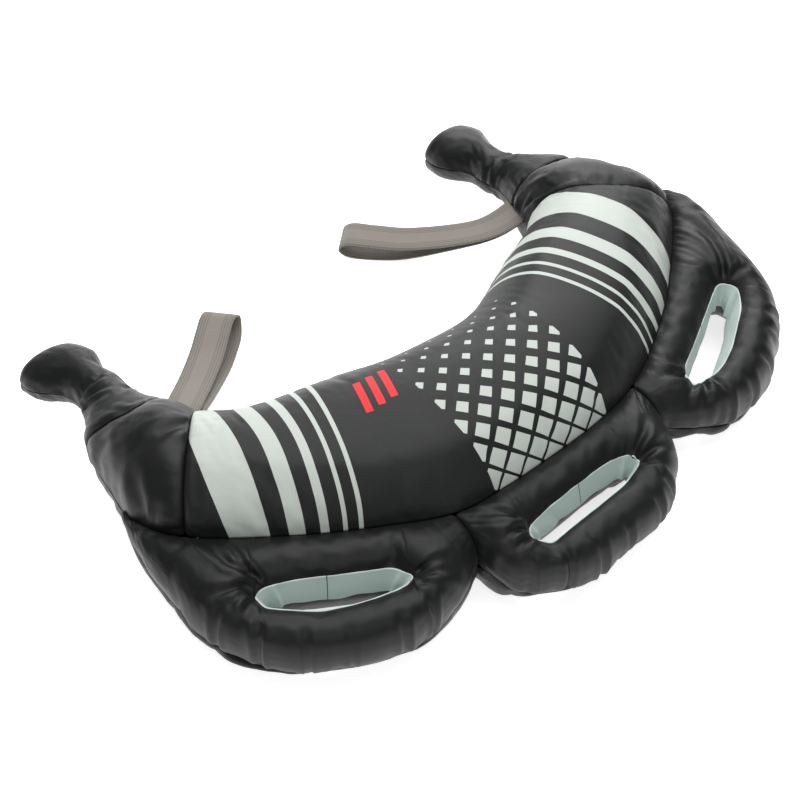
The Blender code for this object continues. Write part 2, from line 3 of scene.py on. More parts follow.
import bmesh
import bpy
import numpy as np
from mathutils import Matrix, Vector


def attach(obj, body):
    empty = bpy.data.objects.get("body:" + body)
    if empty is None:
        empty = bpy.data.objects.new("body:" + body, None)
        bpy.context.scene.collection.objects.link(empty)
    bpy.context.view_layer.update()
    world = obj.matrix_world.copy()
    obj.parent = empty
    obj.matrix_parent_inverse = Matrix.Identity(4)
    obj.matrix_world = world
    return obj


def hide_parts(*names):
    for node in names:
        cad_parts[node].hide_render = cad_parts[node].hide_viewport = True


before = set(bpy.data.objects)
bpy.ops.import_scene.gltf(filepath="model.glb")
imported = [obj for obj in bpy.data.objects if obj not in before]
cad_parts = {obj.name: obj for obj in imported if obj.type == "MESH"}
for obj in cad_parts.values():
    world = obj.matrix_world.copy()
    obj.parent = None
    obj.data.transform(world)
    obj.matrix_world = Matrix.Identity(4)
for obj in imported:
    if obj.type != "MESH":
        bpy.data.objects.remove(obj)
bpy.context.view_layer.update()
print("frame loaded")

# The crescent, in metres
bag = {
    "halfSpan": 0.299,  # middle plane to the outermost edge of a side lobe
    "depth": 0.456,  # edge of the middle lobe to the ends of the grips
    "height": 0.115,  # floor to the crown
    "puffPower": 2.25,  # roundness of every stuffed section
    "step": 0.0042,  # spacing of the cloth's points before the last subdivision
    "cloth": 0.0011,
    "seamRoom": 0.00045,  # what each piece of cloth keeps back from a seam's line
    "seamSink": 0.0022,  # how far a seam is drawn in
    "seamsMeet": 0.5,  # part of a rib's space over which the outer seams come together
    "rootSlant": 0.5,  # how far the allowances in the root seams lean towards the grip
    "turnIn": 0.005,  # seam allowance inside
    "firstTurn": 0.0012,  # the short first fold of that allowance
    "floorPin": 0.0012,  # cloth that lies lower than this stays on the floor
    "weld": 0.000002,  # points nearer than this are one
    "bodyRows": 54,
}


# Colours and shader nodes
def linear(hexColour):
    channels = [int(hexColour[i : i + 2], 16) / 255 for i in (1, 3, 5)]
    curved = [c / 12.92 if c <= 0.04045 else ((c + 0.055) / 1.055) ** 2.4 for c in channels]
    return (*curved, 1)


def addNode(tree, kind, settings=(), links=()):
    node = tree.nodes.new("ShaderNode" + kind)
    for key, value in dict(settings).items():
        if isinstance(key, str) and hasattr(node, key):
            setattr(node, key, value)
        else:
            node.inputs[key].default_value = value
    for key, source in dict(links).items():
        tree.links.new(source, node.inputs[key])
    return node


def startMaterial(name, surface):
    made = bpy.data.materials.new(name)
    made.use_nodes = True
    tree = made.node_tree
    shader = tree.nodes["Principled BSDF"]
    for key, value in surface.items():
        shader.inputs[key].default_value = value
    return made, tree, shader


# Shared curves
def smoothAt(rows, place):
    # Catmull-Rom through rows, one row to a step of place
    index = max(0, min(int(place), len(rows) - 2))
    part = place - index
    start, end = rows[index], rows[index + 1]
    before = rows[index - 1] if index > 0 else 2 * start - end
    after = rows[index + 2] if index + 2 < len(rows) else 2 * end - start
    bend = 2 * before - 5 * start + 4 * end - after
    twist = 3 * start - before - 3 * end + after
    return start + 0.5 * part * (end - before + part * (bend + part * twist))


def unit(vectors):
    vectors = np.asarray(vectors, float)
    return vectors / np.maximum(1e-9, np.linalg.norm(vectors, axis=-1, keepdims=True))


def lengthsAlong(points):
    steps = np.linalg.norm(np.diff(points, axis=0), axis=-1)
    return np.concatenate([np.zeros((1,) + steps.shape[1:]), np.cumsum(steps, axis=0)])


def waver(values, pitch, seed):
    # a smooth random line between -1 and 1, with its bumps about a pitch apart
    table = np.random.default_rng(seed).uniform(-1, 1, 512)
    spot = np.asarray(values) / pitch + 64
    index = np.floor(spot).astype(int)
    part = spot - index
    ease = part * part * (3 - 2 * part)
    return table[index % 512] * (1 - ease) + table[(index + 1) % 512] * ease


# Ribs of the right half, as shares of the half span, depth and height: inner edge x and y, outer seam
# x and y, then the heights of the inner seam, upper and lower outer seams, crown, underside and rest
ribShares = (
    (0.000, 0.053, 0.000, -0.309, 0.452, 0.626, 0.174, 1.000, -0.190, 0.000),
    (0.167, 0.061, 0.174, -0.305, 0.452, 0.626, 0.174, 0.998, -0.190, 0.000),
    (0.313, 0.081, 0.341, -0.287, 0.452, 0.626, 0.174, 0.992, -0.190, 0.000),
    (0.434, 0.106, 0.508, -0.230, 0.452, 0.626, 0.174, 0.985, -0.175, 0.000),
    (0.531, 0.134, 0.707, -0.140, 0.452, 0.617, 0.183, 0.974, -0.140, 0.000),
    (0.599, 0.168, 0.915, -0.012, 0.452, 0.578, 0.235, 0.950, -0.087, 0.017),
    (0.622, 0.206, 0.964, 0.105, 0.452, 0.490, 0.422, 0.915, 0.017, 0.035),
)
# Outer edge of the lobes at every half rib: x, y, then the heights of the edge, crown and underside
middleEdgeShares = (
    (0.000, -0.500, 0.374, 0.690, -0.030),
    (0.100, -0.498, 0.374, 0.690, -0.030),
    (0.192, -0.482, 0.374, 0.688, -0.030),
    (0.304, -0.427, 0.374, 0.670, -0.020),
    (0.361, -0.360, 0.374, 0.630, 0.170),
)
sideEdgeShares = (
    (0.361, -0.360, 0.374, 0.630, 0.170),
    (0.535, -0.410, 0.374, 0.680, -0.020),
    (0.674, -0.402, 0.374, 0.698, -0.030),
    (0.789, -0.362, 0.374, 0.706, -0.030),
    (0.880, -0.314, 0.374, 0.706, -0.030),
    (0.957, -0.248, 0.378, 0.696, -0.020),
    (1.000, -0.146, 0.391, 0.664, 0.060),
    (0.999, -0.020, 0.417, 0.610, 0.200),
    (0.972, 0.107, 0.452, 0.494, 0.418),
)
lobeSeam, panelEnd, lobeEnd = 2, 5, 6
panelEndLeft = 4.88  # the left end of the panel is sewn a little nearer the middle
rootSeam = 6.88  # the grips' covers reach a little on to the shoulders

# A grip: where its ribs lie along it, and its widths and heights there
grip = {
    "length": 0.115,
    "along": (0.00, 0.20, 0.40, 0.58, 0.78, 0.92, 0.98, 1.00),
    "widths": (0.076, 0.0533, 0.042, 0.042, 0.062, 0.0601, 0.0521, 0.0372),
    "heights": (0.066, 0.050, 0.042, 0.042, 0.048, 0.0466, 0.0403, 0.0288),
    "levelShare": 0.461,
    "rootShare": 0.766,
    "neckShare": 0.720,
    "droop": 0.017,
    "leftSplay": 0.020,
    "bendPower": 1.5,
    "step": 0.0035,
    "rows": 32,
    "endRound": 0.0012,  # how far the closed end stands out
    "shiftReach": 1.2,  # how far along the grip the root seam's shift fades out
    # how far each root seam is shifted along the body, from its inner end to its outer end
    "leftShift": ((0, -0.12), (0.3, -0.40), (0.55, -0.18), (0.9, 0.34), (1, 0.36)),
    "rightShift": ((0, 0.0), (0.25, -0.09), (0.5, -0.13), (0.75, -0.09), (1, 0.0)),
}


def halfRibs():
    scale = np.array(2 * [bag["halfSpan"], bag["depth"]] + 6 * [bag["height"]])
    ribs = [list(row) for row in np.array(ribShares) * scale]
    level = grip["levelShare"] * bag["height"]
    for along, width, height in zip(grip["along"], grip["widths"], grip["heights"]):
        turn = min(1, along / grip["along"][2])
        share = grip["rootShare"] + turn * (grip["neckShare"] - grip["rootShare"])
        x = bag["halfSpan"] * share
        y = bag["depth"] / 2 - (1 - along) * grip["length"]
        top, bottom = level + height / 2, level - height / 2
        ribs.append([x - width / 2, y, x + width / 2, y, level, level, level, top, bottom, 0.002])
    mirrored = [-ribs[1][0], ribs[1][1], -ribs[1][2], *ribs[1][3:]]
    return np.array([mirrored] + ribs)


ribs = halfRibs()
edgeScale = np.array([bag["halfSpan"], bag["depth"]] + 3 * [bag["height"]])
middleEdges = np.array(middleEdgeShares) * edgeScale
sideEdges = np.array(sideEdgeShares) * edgeScale
gripTip = len(ribs) - 2


def ribAt(place):
    # negative places are the left half
    rib = smoothAt(ribs, abs(place) + 1)
    # the upper and lower outer seams meet where the lobe ends
    share = min(1, max(0, (abs(place) - lobeEnd) / bag["seamsMeet"] + 1))
    rib[5:7] += (rib[5:7].mean() - rib[5:7]) * share * share * (3 - 2 * share)
    return rib * ([-1, 1, -1] + 7 * [1]) if place < 0 else rib


def middleEdge(place):
    mirrored = middleEdges[1] * [-1, 1, 1, 1, 1]
    row = smoothAt(np.vstack([mirrored, middleEdges]), 2 * abs(place) + 1)
    return row * [math.copysign(1, place), 1, 1, 1, 1]


def sideEdge(place):
    return smoothAt(sideEdges, 2 * (place - lobeSeam))


def seamReach(level, end, peak):
    fall = min(1, abs(end - level) / abs(peak - level))
    return (1 - fall ** bag["puffPower"]) ** (1 / bag["puffPower"])


def puffHeight(across, level, peak):
    power = bag["puffPower"]
    return level + (peak - level) * np.maximum(0, 1 - abs(across) ** power) ** (1 / power)


def evenSteps(curve, count):
    # the same curve with evenly spaced points
    reach = lengthsAlong(curve)
    wanted = np.linspace(0, reach[-1], count + 1)
    return np.column_stack([np.interp(wanted, reach, curve[:, axis]) for axis in range(curve.shape[1])])


def bodySection(place, upper, count):
    # from the inner seam, where the cloth stands upright, over the crown to the outer seam
    rib = ribAt(place)
    inner, outer = rib[0:2], rib[2:4]
    level, end, peak = (rib[4], rib[5], rib[7]) if upper else (rib[4], rib[6], rib[8])
    power = bag["puffPower"]
    reach = seamReach(level, end, peak)
    turn = math.pi - math.asin((1 - reach**power) ** 0.5)
    cosines = np.cos(np.linspace(0, turn, 3 * count + 1))
    across = -np.sign(cosines) * abs(cosines) ** (2 / power)
    part = (across + 1) / (across[-1] + 1)
    height = puffHeight(across, level, peak)
    if not upper:
        height = np.maximum(height, max(0, rib[9]))
    curve = np.column_stack([inner + part[:, None] * (outer - inner), height])
    return evenSteps(curve, count)


def bodyPlaces(first, last, step):
    # places whose sections lie about a step apart on the middle line
    dense = np.linspace(first, last, int(60 * (last - first)) + 2)
    middle = np.array([(ribAt(place)[0:2] + ribAt(place)[2:4]) / 2 for place in dense])
    reach = lengthsAlong(middle)
    count = max(4, round(reach[-1] / step))
    return np.interp(np.linspace(0, reach[-1], count + 1), reach, dense)


# Hand slots: the rims' heights, and the corners of each slot in millimetres along and across it
slot = {
    "top": 0.0625,
    "bottom": 0.041,
    "roll": 0.026,  # how far from a slot its rim draws the lobe down
    "underRoll": 0.027,
    "rollPower": 2.2,
    "coverRoom": 0.0015,  # how far the covers run in under the rolled rim
    "corner": 0.0018,
    "edgeFree": 0.18,  # share of a section, next to its edge, that the slot doesn't draw down
    "seamUnder": 0.045,  # how far under the edge its seam lies, as a share of the section
    "alongCloth": 0.118,  # cloth along a slot, and outside and inside it, as its points share it out
    "outerCloth": 0.078,
    "innerCloth": 0.052,
    "narrow": 0.02,  # a section shorter than this has little room for a seam allowance
    # how the opening below differs from the one above: scale across, shift along and across
    "middleBelow": (0.88, 0, -1.8),
    "leftBelow": (0.94, 0, -1.0),
    "rightBelow": (0.82, -1, -3.2),
    "middle": ((-69, -2), (-62, -12), (-20, -16), (36, -16), (54, -9), (54, 5), (26, 14), (-58, 15)),
    "left": ((66, -1), (58, -9), (34, -14), (-43, -13), (-58, 0), (-48, 11), (-20, 19), (14, 22), (58, 13)),
    "right": (
        (58, -2), (54, -10), (-12, -16), (-50, -17), (-62, -12),
        (-69, 0), (-50, 13), (-26, 18), (35, 17), (55, 10),
    ),
}


class Lobe:
    # a section runs from the outer edge to the outer seam, parted by the hand slot
    def __init__(self, edge, centreShares, angle, first, last, corners):
        self.edge, self.first, self.last = edge, first, last
        self.centre = np.array(centreShares) * [bag["halfSpan"], bag["depth"]]
        self.along = np.array([math.cos(angle), math.sin(angle)])
        self.out = np.array([self.along[1], -self.along[0]])
        corners = np.array(corners) / 1000
        sides = np.roll(corners, -1, axis=0) - corners
        normals = unit(np.column_stack([sides[:, 1], -sides[:, 0]]))
        reach = (normals * corners).sum(axis=1)
        self.normals, self.reach = normals * np.sign(reach)[:, None], abs(reach)

    def ends(self, place):
        return self.edge(place)[:2], ribAt(place)[2:4]

    def placeThrough(self, point):
        # the place whose section passes through a point, by halving
        low, high = self.first, self.last
        for _ in range(30):
            middle = (low + high) / 2
            edge, seam = self.ends(middle)
            run, reach = seam - edge, point - edge
            low, high = (low, middle) if run[0] * reach[1] > run[1] * reach[0] else (middle, high)
        return (low + high) / 2

    def slotGap(self, points):
        # how far points lie outside the slot's rim, below zero inside it
        offset = np.asarray(points) - self.centre
        local = np.stack([offset @ self.along, offset @ self.out], axis=-1)
        over = (local @ self.normals.T - self.reach) / slot["corner"]
        most = over.max(axis=-1)
        return slot["corner"] * (most + np.log(np.exp(over - most[..., None]).sum(axis=-1)))

    def rimAlong(self, ways, room):
        # how far the rim lies from the centre along each way, by halving
        inside, outside = np.zeros(len(ways)), np.full(len(ways), 0.09)
        for _ in range(24):
            middle = (inside + outside) / 2
            clear = self.slotGap(self.centre + middle[:, None] * ways) > -room
            inside, outside = np.where(clear, inside, middle), np.where(clear, middle, outside)
        return outside

    def rimLoop(self, count, room):
        # the slot's rim in plan, drawn in by room
        turn = np.linspace(0, 2 * math.pi, 5 * count, endpoint=False)
        ways = np.cos(turn)[:, None] * self.along + np.sin(turn)[:, None] * self.out
        loop = self.centre + self.rimAlong(ways, room)[:, None] * ways
        return evenSteps(np.vstack([loop, loop[:1]]), count)[:-1]

    def slotTips(self):
        ways = np.array([-self.along, self.along])
        reach = self.rimAlong(ways, slot["coverRoom"])
        return [self.placeThrough(self.centre + far * way) for far, way in zip(reach, ways)]

    def axisPart(self, place):
        edge, seam = self.ends(place)
        return float((self.centre - edge) @ self.out / ((seam - edge) @ self.out))

    def slotParts(self, place):
        edge, seam = self.ends(place)
        found = []
        for stop in (0.0, 1.0):
            inside, outside = self.axisPart(place), stop
            for _ in range(24):
                middle = (inside + outside) / 2
                clear = self.slotGap(edge + middle * (seam - edge)) > -slot["coverRoom"]
                inside, outside = (inside, middle) if clear else (middle, outside)
            found.append(outside)
        return found

    def seamUnder(self, place):
        # where the edge seam lies under the edge: nowhere at the lobe's ends
        along = (place - self.first) / (self.last - self.first)
        ease = min(1, 4 * min(along, 1 - along))
        return slot["seamUnder"] * ease * ease * (3 - 2 * ease)

    def section(self, place, upper, parts):
        edge, seam = self.ends(place)
        _, _, level, crown, underside = self.edge(place)
        end = ribAt(place)[5 if upper else 6]
        peak = crown if upper else underside
        reach = seamReach(level, end, peak)
        plan = edge + parts[:, None] * (seam - edge)
        height = puffHeight(parts * (reach + 1) - 1, level, peak)
        gap = np.maximum(0, self.slotGap(plan))
        free = np.minimum(1, parts / slot["edgeFree"])
        if upper:
            pull = np.maximum(0, 1 - gap / slot["roll"]) ** slot["rollPower"]
            height = height + (slot["top"] - height) * pull * free
        else:
            # the lower cover rolls up to the lining's lower edge
            height = np.maximum(height, 0.002)
            pull = np.maximum(0, 1 - gap / slot["underRoll"]) ** slot["rollPower"]
            height = height + (slot["bottom"] - height) * pull * free
        return np.column_stack([plan, height])

    def outerSection(self, place, upper, stop, rows):
        # from the edge seam, round the edge, to the slot
        under = self.seamUnder(place)
        turn = np.linspace(0, math.pi / 2, 4 * rows + 1)
        if not upper:
            return evenSteps(self.section(place, False, under + (stop - under) * (1 - np.cos(turn))), rows)
        below = self.section(place, False, under * (1 - np.sin(turn[:-1])))
        above = self.section(place, True, stop * (1 - np.cos(turn)))
        return evenSteps(np.concatenate([below, above]) if under > 1e-4 else above, rows)

    def edgePlaces(self, first, last, step):
        run = lengthsAlong(np.array([self.edge(place)[:2] for place in np.linspace(first, last, 30)]))
        return np.linspace(first, last, max(3, round(run[-1] / step)) + 1)

    def strips(self, upper, step):
        # two grids of points, one on each side of the slot, and where the slot parts them
        start, end = self.slotTips()
        slotCount = round(slot["alongCloth"] / step)
        turn = (np.cos(np.linspace(math.pi, 0, slotCount + 1)) + 1) / 2
        before = self.edgePlaces(self.first, start, step)[:-1]
        after = self.edgePlaces(end, self.last, step)[1:]
        places = np.concatenate([before, start + (end - start) * turn, after])
        outerRows, innerRows = round(slot["outerCloth"] / step), round(slot["innerCloth"] / step)
        outer, inner = [], []
        for place in places:
            if start < place < end:
                low, high = self.slotParts(place)
            else:
                tip, stop = (start, self.first) if place <= start else (end, self.last)
                beyond = (place - tip) / (stop - tip)
                low = high = self.axisPart(tip) + beyond * (0.5 - self.axisPart(tip))
            outer.append(self.outerSection(place, upper, low, outerRows))
            dense = np.linspace(high, 1, 4 * innerRows + 1)
            inner.append(evenSteps(self.section(place, upper, dense), innerRows))
        parted = (places > start - 1e-6) & (places < end + 1e-6)
        return places, np.array(outer), np.array(inner), parted


def lobePair(name, edge, centreShares, angle, first, last):
    # the lobe with its opening as it is above, and as it is below
    across, along, outwards = slot[name + "Below"]
    below = [(u + along, v * across + outwards) for u, v in slot[name]]
    turn = math.radians(angle)
    return [Lobe(edge, centreShares, turn, first, last, corners) for corners in (slot[name], below)]


lobes = {
    "middle": lobePair("middle", middleEdge, (0.000, -0.404), 0.0, -lobeSeam, lobeSeam),
    "left": lobePair("left", sideEdge, (0.689, -0.274), 32.5, lobeSeam, lobeEnd),
    "right": lobePair("right", sideEdge, (0.689, -0.274), 32.5, lobeSeam, lobeEnd),
}


def lie(grid, flipped):
    # a right-hand grid as it lies: on its own side, the grips drooping and the left one splayed
    grid = np.array(grid, float) * [-1 if flipped else 1, 1, 1]
    root = bag["depth"] / 2 - grip["length"]
    bend = (np.maximum(0, grid[..., 1] - root) / grip["length"]) ** grip["bendPower"]
    grid[..., 0] -= (grip["leftSplay"] if flipped else 0) * bend
    grid[..., 2] -= grip["droop"] * bend
    return settle(grid)


# The filling has settled unevenly, so the bag isn't quite symmetric: the middle of each push on the plan,
# and how far it moves the cloth there, in millimetres
pushReach = 45
pushes = (
    ((229, 223), (-3.8, -0.5, -5.9)),
    ((-284, -112), (4.6, 0.3, 0.1)),
    ((174, -189), (1.4, 0.3, -0.5)),
    ((-238, 227), (1.3, 5.4, -10.4)),
    ((-54, -222), (-0.4, 0.7, -0.2)),
    ((297, 4), (9.5, 2.9, 4.7)),
    ((-285, 60), (8.3, -2.2, 0.4)),
    ((123, 41), (-1.3, 4.5, 1.3)),
    ((-156, 38), (-10.5, 3.5, -3.3)),
    ((-177, -185), (5.4, 3.4, 0.3)),
    ((62, -220), (-0.2, 3.1, -0.2)),
    ((249, 108), (-2.5, -4.5, -2.5)),
    ((-202, 129), (-4.3, -1.8, -1.4)),
    ((-300, -26), (5.5, -5.6, 0.6)),
    ((-102, -157), (5.6, -3.4, -1.4)),
    ((50, 13), (0.3, -5.6, -2.8)),
    ((196, 158), (2.6, -2.9, -6.5)),
    ((-93, 15), (1.8, 4.2, 3.2)),
    ((-239, -162), (-0.0, 2.1, 0.2)),
    ((293, -58), (-1.8, 0.2, -0.9)),
    ((-263, 119), (-3.6, -3.0, -1.8)),
    ((4, -229), (0.8, 2.9, 0.4)),
    ((265, 51), (-7.7, 3.2, -6.5)),
    ((123, -168), (-6.9, 3.8, -1.7)),
    ((-238, 171), (1.9, 5.5, -5.3)),
)


def settle(points):
    plan, lift = 1000 * points[..., :2], np.clip(points[..., 2] / bag["height"], 0, 1)
    moved = points.copy()
    for centre, (dx, dy, dz) in pushes:
        near = np.exp(-((plan - centre) ** 2).sum(axis=-1) / pushReach**2) / 1000
        moved += np.stack([near * dx, near * dy, near * dz * lift], axis=-1)
    return moved


# Cloth pieces
def addToScene(name, data):
    holder = bpy.data.objects.new(name, data)
    bpy.context.scene.collection.objects.link(holder)
    return holder


def seamInward(place, upper, side):
    # the way a seam allowance turns in, on the inner seam, the outer seam or an end
    rib = ribAt(place)
    run = unit(rib[2:4] - rib[0:2])
    if side == "inner":
        return np.array([*run, 0])
    if place > lobeEnd - 0.01 or place < 0.01 - lobeEnd:
        return np.array([*-run, 0])
    return unit([*(-0.6 * run), -0.8 if upper else 0.8])


def endInward(points):
    # towards the middle of a section
    middle = (points[0] + points[-1]) / 2
    return unit(middle - points)


def rootWay(inwards):
    # the allowances of a root seam lean the same way, so that it doesn't stand open
    ahead = unit(ribAt(rootSeam + 0.1)[0:2] - ribAt(rootSeam - 0.1)[0:2])
    return unit(inwards + bag["rootSlant"] * np.array([*ahead, 0]))


def mirrorWay(ways, flipped):
    return np.array(ways) * [-1 if flipped else 1, 1, 1]


def cutPlan(grid, anchor):
    # where each point lies on the flat cut: the anchor row keeps its plan, and rows are unrolled from it
    reach = lengthsAlong(grid.transpose(1, 0, 2))
    reach = (reach - reach[anchor]).T
    way = unit((grid[:, -1] - grid[:, 0])[:, :2])
    return grid[:, anchor, :2][:, None] + reach[..., None] * way[:, None]


def borderLengths(grid):
    # for every point: its distance from the low side and from the first end
    down = lengthsAlong(grid.transpose(1, 0, 2)).T
    along = lengthsAlong(grid)
    return down, along


def strip(grid, borders, anchor=None, rimSide=None, rimGap=None, far=(0, 0), room=1):
    # borders: name of a side and the inward way of each of its points, nan where it isn't sewn;
    # far: what to add to the distances from the low and high sides, where the piece goes on;
    # room: share of the seam allowance that each row has room for
    grid = np.array(grid, float)
    count, rows = grid.shape[:2]
    inward = np.zeros_like(grid)
    sewn = np.zeros((count, rows), bool)
    whole = slice(None)
    views = {"first": (0, whole), "last": (-1, whole), "low": (whole, 0), "high": (whole, -1)}
    down, along = borderLengths(grid)
    gaps = {"first": along, "last": along[-1] - along, "low": down, "high": down[:, -1:] - down}
    nearest = np.full((count, rows), 1.0)
    place = np.zeros((count, rows))
    for side, ways in borders.items():
        ways = np.array(np.broadcast_to(ways, grid[views[side]].shape))
        here = ~np.isnan(ways[:, 0])
        inward[views[side]] += np.where(here[:, None], np.nan_to_num(ways), 0)
        sewn[views[side]] |= here
        gap = rimGap if side == rimSide else gaps[side]
        closer = gap < nearest
        nearest = np.where(closer, gap, nearest)
        place = np.where(closer, along if side in ("low", "high") else down, place)
    return {
        "grid": grid,
        "inward": unit(inward) * sewn[..., None] * np.reshape(room, (-1, 1, 1)),
        "sewn": sewn,
        "cut": cutPlan(grid, rows // 2 if anchor is None else anchor),
        "seamGap": nearest,
        "seamPlace": place,
        "across": np.stack([gaps["low"] + far[0], gaps["high"] + far[1], along], axis=-1),
        "lengthwise": np.stack([gaps["first"], gaps["last"], down], axis=-1),
    }


def keptBack(grid, sides, room):
    # moves border lines in from their seams
    grid = np.array(grid, float)
    lines = {"first": (0, 1, 0), "last": (-1, -2, 0), "low": (0, 1, 1), "high": (-1, -2, 1)}
    for side in sides:
        border, inside, axis = lines[side]
        view = grid if axis == 0 else grid.transpose(1, 0, 2)
        view[border] += unit(view[inside] - view[border]) * room
    return grid


def addFaces(mesh, cut, corners, cutPlaces):
    # a face to every four neighbouring corners, with their places on the flat cut
    for i in range(len(corners) - 1):
        for j in range(len(corners[0]) - 1):
            spots = ((i, j), (i + 1, j), (i + 1, j + 1), (i, j + 1))
            face = mesh.faces.new([corners[a][b] for a, b in spots])
            face.smooth = True
            for loop, (a, b) in zip(face.loops, spots):
                loop[cut].uv = cutPlaces[a, b]


def pieceFrom(mesh, name):
    bmesh.ops.remove_doubles(mesh, verts=mesh.verts, dist=bag["weld"])
    bmesh.ops.recalc_face_normals(mesh, faces=mesh.faces)
    data = bpy.data.meshes.new(name)
    mesh.to_mesh(data)
    mesh.free()
    return addToScene(name, data)


def clothPiece(name, strips, floorPinned=False):
    # one mesh of all the strips, joined where they meet, with its sewn borders pinned
    mesh = bmesh.new()
    cut = mesh.loops.layers.uv.new("cut")
    layers = {kind: mesh.verts.layers.float.new(kind) for kind in ("seamGap", "seamPlace")}
    for kind in ("inward", "across", "lengthwise"):
        layers[kind] = mesh.verts.layers.float_vector.new(kind)
    weights = mesh.verts.layers.deform.verify()
    for part in strips:
        grid = part["grid"]
        count, rows = grid.shape[:2]
        corners = []
        for i in range(count):
            line = []
            for j in range(rows):
                corner = mesh.verts.new(grid[i, j])
                for kind, layer in layers.items():
                    corner[layer] = part[kind][i, j]
                onFloor = floorPinned and grid[i, j, 2] < bag["floorPin"]
                corner[weights][0] = 1.0 if part["sewn"][i, j] or onFloor else 0.0
                line.append(corner)
            corners.append(line)
        addFaces(mesh, cut, corners, part["cut"])
    piece = pieceFrom(mesh, name)
    piece.vertex_groups.new(name="sewn")
    return piece


def readRows(items, kind):
    values = np.zeros(len(items) * 3)
    items.foreach_get(kind, values)
    return values.reshape(-1, 3)


def faceOut(piece, upper):
    if (readRows(piece.data.polygons, "normal")[:, 2].sum() > 0) != upper:
        piece.data.flip_normals()


# What the cloth simulation does to every sewn piece
stuffing = {
    "frames": 20,
    "pressure": 2.4,
    "mostMove": 0.005,
    "scale": 10.0,  # the solver is steadier on a larger copy
    "cloth": {
        "quality": 6,
        "mass": 0.02,
        "tension_stiffness": 15,
        "compression_stiffness": 8,
        "shear_stiffness": 4,
        "bending_stiffness": 0.05,
        "air_damping": 3,
    },
    # for each kind of cover: how full it is, and the extra cloth gathered into its seams
    "panelCover": (0.9, 0.02),
    "lobeCover": (0.7, 0.014),
    "shoulderCover": (0.8, 0.03),
    "gripCover": (0.8, 0.03),
}


def addCloth(piece, grow):
    cloth = piece.modifiers.new("stuffing", "CLOTH")
    settings = cloth.settings
    for key, value in stuffing["cloth"].items():
        setattr(settings, key, value)
    settings.vertex_group_mass = "sewn"
    settings.shrink_min = -grow
    settings.use_pressure = True
    settings.uniform_pressure_force = stuffing["pressure"]
    settings.effector_weights.gravity = 0
    cloth.collision_settings.use_collision = False
    cloth.collision_settings.use_self_collision = False
    cloth.point_cache.frame_end = stuffing["frames"]


def stuff(pieces):
    # swells all the pieces at once, caps how far a point may move, and keeps the result
    scale = stuffing["scale"]
    starts = {}
    for piece, grow in pieces:
        starts[piece.name] = readRows(piece.data.vertices, "co")
        piece.data.vertices.foreach_set("co", (starts[piece.name] * scale).ravel())
        addCloth(piece, grow)
    scene = bpy.context.scene
    for number in range(1, stuffing["frames"] + 1):
        scene.frame_set(number)
    graph = bpy.context.evaluated_depsgraph_get()
    for piece, _ in pieces:
        swollen = readRows(piece.evaluated_get(graph).data.vertices, "co") / scale
        start = starts[piece.name]
        move = swollen - start
        size = np.linalg.norm(move, axis=1, keepdims=True)
        move = move * np.minimum(1, stuffing["mostMove"] / np.maximum(size, 1e-9))
        piece.modifiers.remove(piece.modifiers["stuffing"])
        settled = start + move
        settled[:, 2] = np.maximum(settled[:, 2], np.minimum(start[:, 2], 0.0))
        piece.data.vertices.foreach_set("co", settled.ravel())
        print(piece.name, "moved up to", round(1000 * float(size.max()), 1), "mm")
    scene.frame_set(1)


def turnIn(piece):
    # sews the borders: an allowance turned in along every seam
    mesh = bmesh.new()
    mesh.from_mesh(piece.data)
    inward = mesh.verts.layers.float_vector["inward"]
    gap = mesh.verts.layers.float["seamGap"]
    for depth in (bag["firstTurn"], bag["turnIn"]):
        border = [edge for edge in mesh.edges if edge.is_boundary]
        made = bmesh.ops.extrude_edge_only(mesh, edges=border)["geom"]
        for corner in made:
            if isinstance(corner, bmesh.types.BMVert):
                corner.co += corner[inward] * depth
                corner[gap] = 0
    for face in mesh.faces:
        face.smooth = True
    mesh.to_mesh(piece.data)
    mesh.free()


def finishCloth(piece, nodes, material, seed):
    foldPiece(piece, seed)
    turnIn(piece)
    layer = piece.modifiers.new("layer", "SOLIDIFY")
    layer.thickness = bag["cloth"]
    layer.offset = -1
    piece.data.materials.append(material)
    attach(piece, "bag")
    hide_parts(*nodes)


def shiftedGrid(places, upper, rows, share, flipped):
    # sections shifted along the body, so that a grip's root seam runs aslant over the crown
    wanted = np.asarray(places)[:, None] + np.zeros(rows + 1)
    if upper:
        shift = np.array(grip["leftShift" if flipped else "rightShift"])
        width = 2 * (rows // 8) + 1
        curve = np.interp(np.linspace(-0.12, 1.12, rows + width), *shift.T)
        smooth = np.convolve(curve, np.ones(width) / width, "valid")
        wanted = wanted + np.asarray(share)[:, None] * smooth
    dense = np.linspace(wanted.min(), wanted.max(), 6 * len(places))
    sections = np.array([bodySection(place, upper, rows) for place in dense])
    grid = np.empty((len(places), rows + 1, 3))
    for j in range(rows + 1):
        for axis in range(3):
            grid[:, j, axis] = np.interp(wanted[:, j], dense, sections[:, j, axis])
    return grid


def bodyStrip(first, last, upper, flipped):
    places = bodyPlaces(first, last, bag["step"])
    share = np.clip((places - first) / (last - first), 0, 1) ** 2 * (last == rootSeam)
    grid = shiftedGrid(places, upper, bag["bodyRows"], share, flipped)
    ways = {
        "low": [seamInward(place, upper, "inner") for place in places],
        "high": [seamInward(place, upper, "outer") for place in places],
    }
    for side, index in (("first", 0), ("last", -1)):
        ways[side] = endInward(grid[index])
        grid[index] += ways[side] * bag["seamSink"]
    if last == rootSeam:
        ways["last"] = rootWay(ways["last"])
    grid = keptBack(grid, ("first", "last", "low", "high"), bag["seamRoom"])
    ways = {side: mirrorWay(way, flipped) for side, way in ways.items()}
    return strip(lie(grid, flipped), ways)


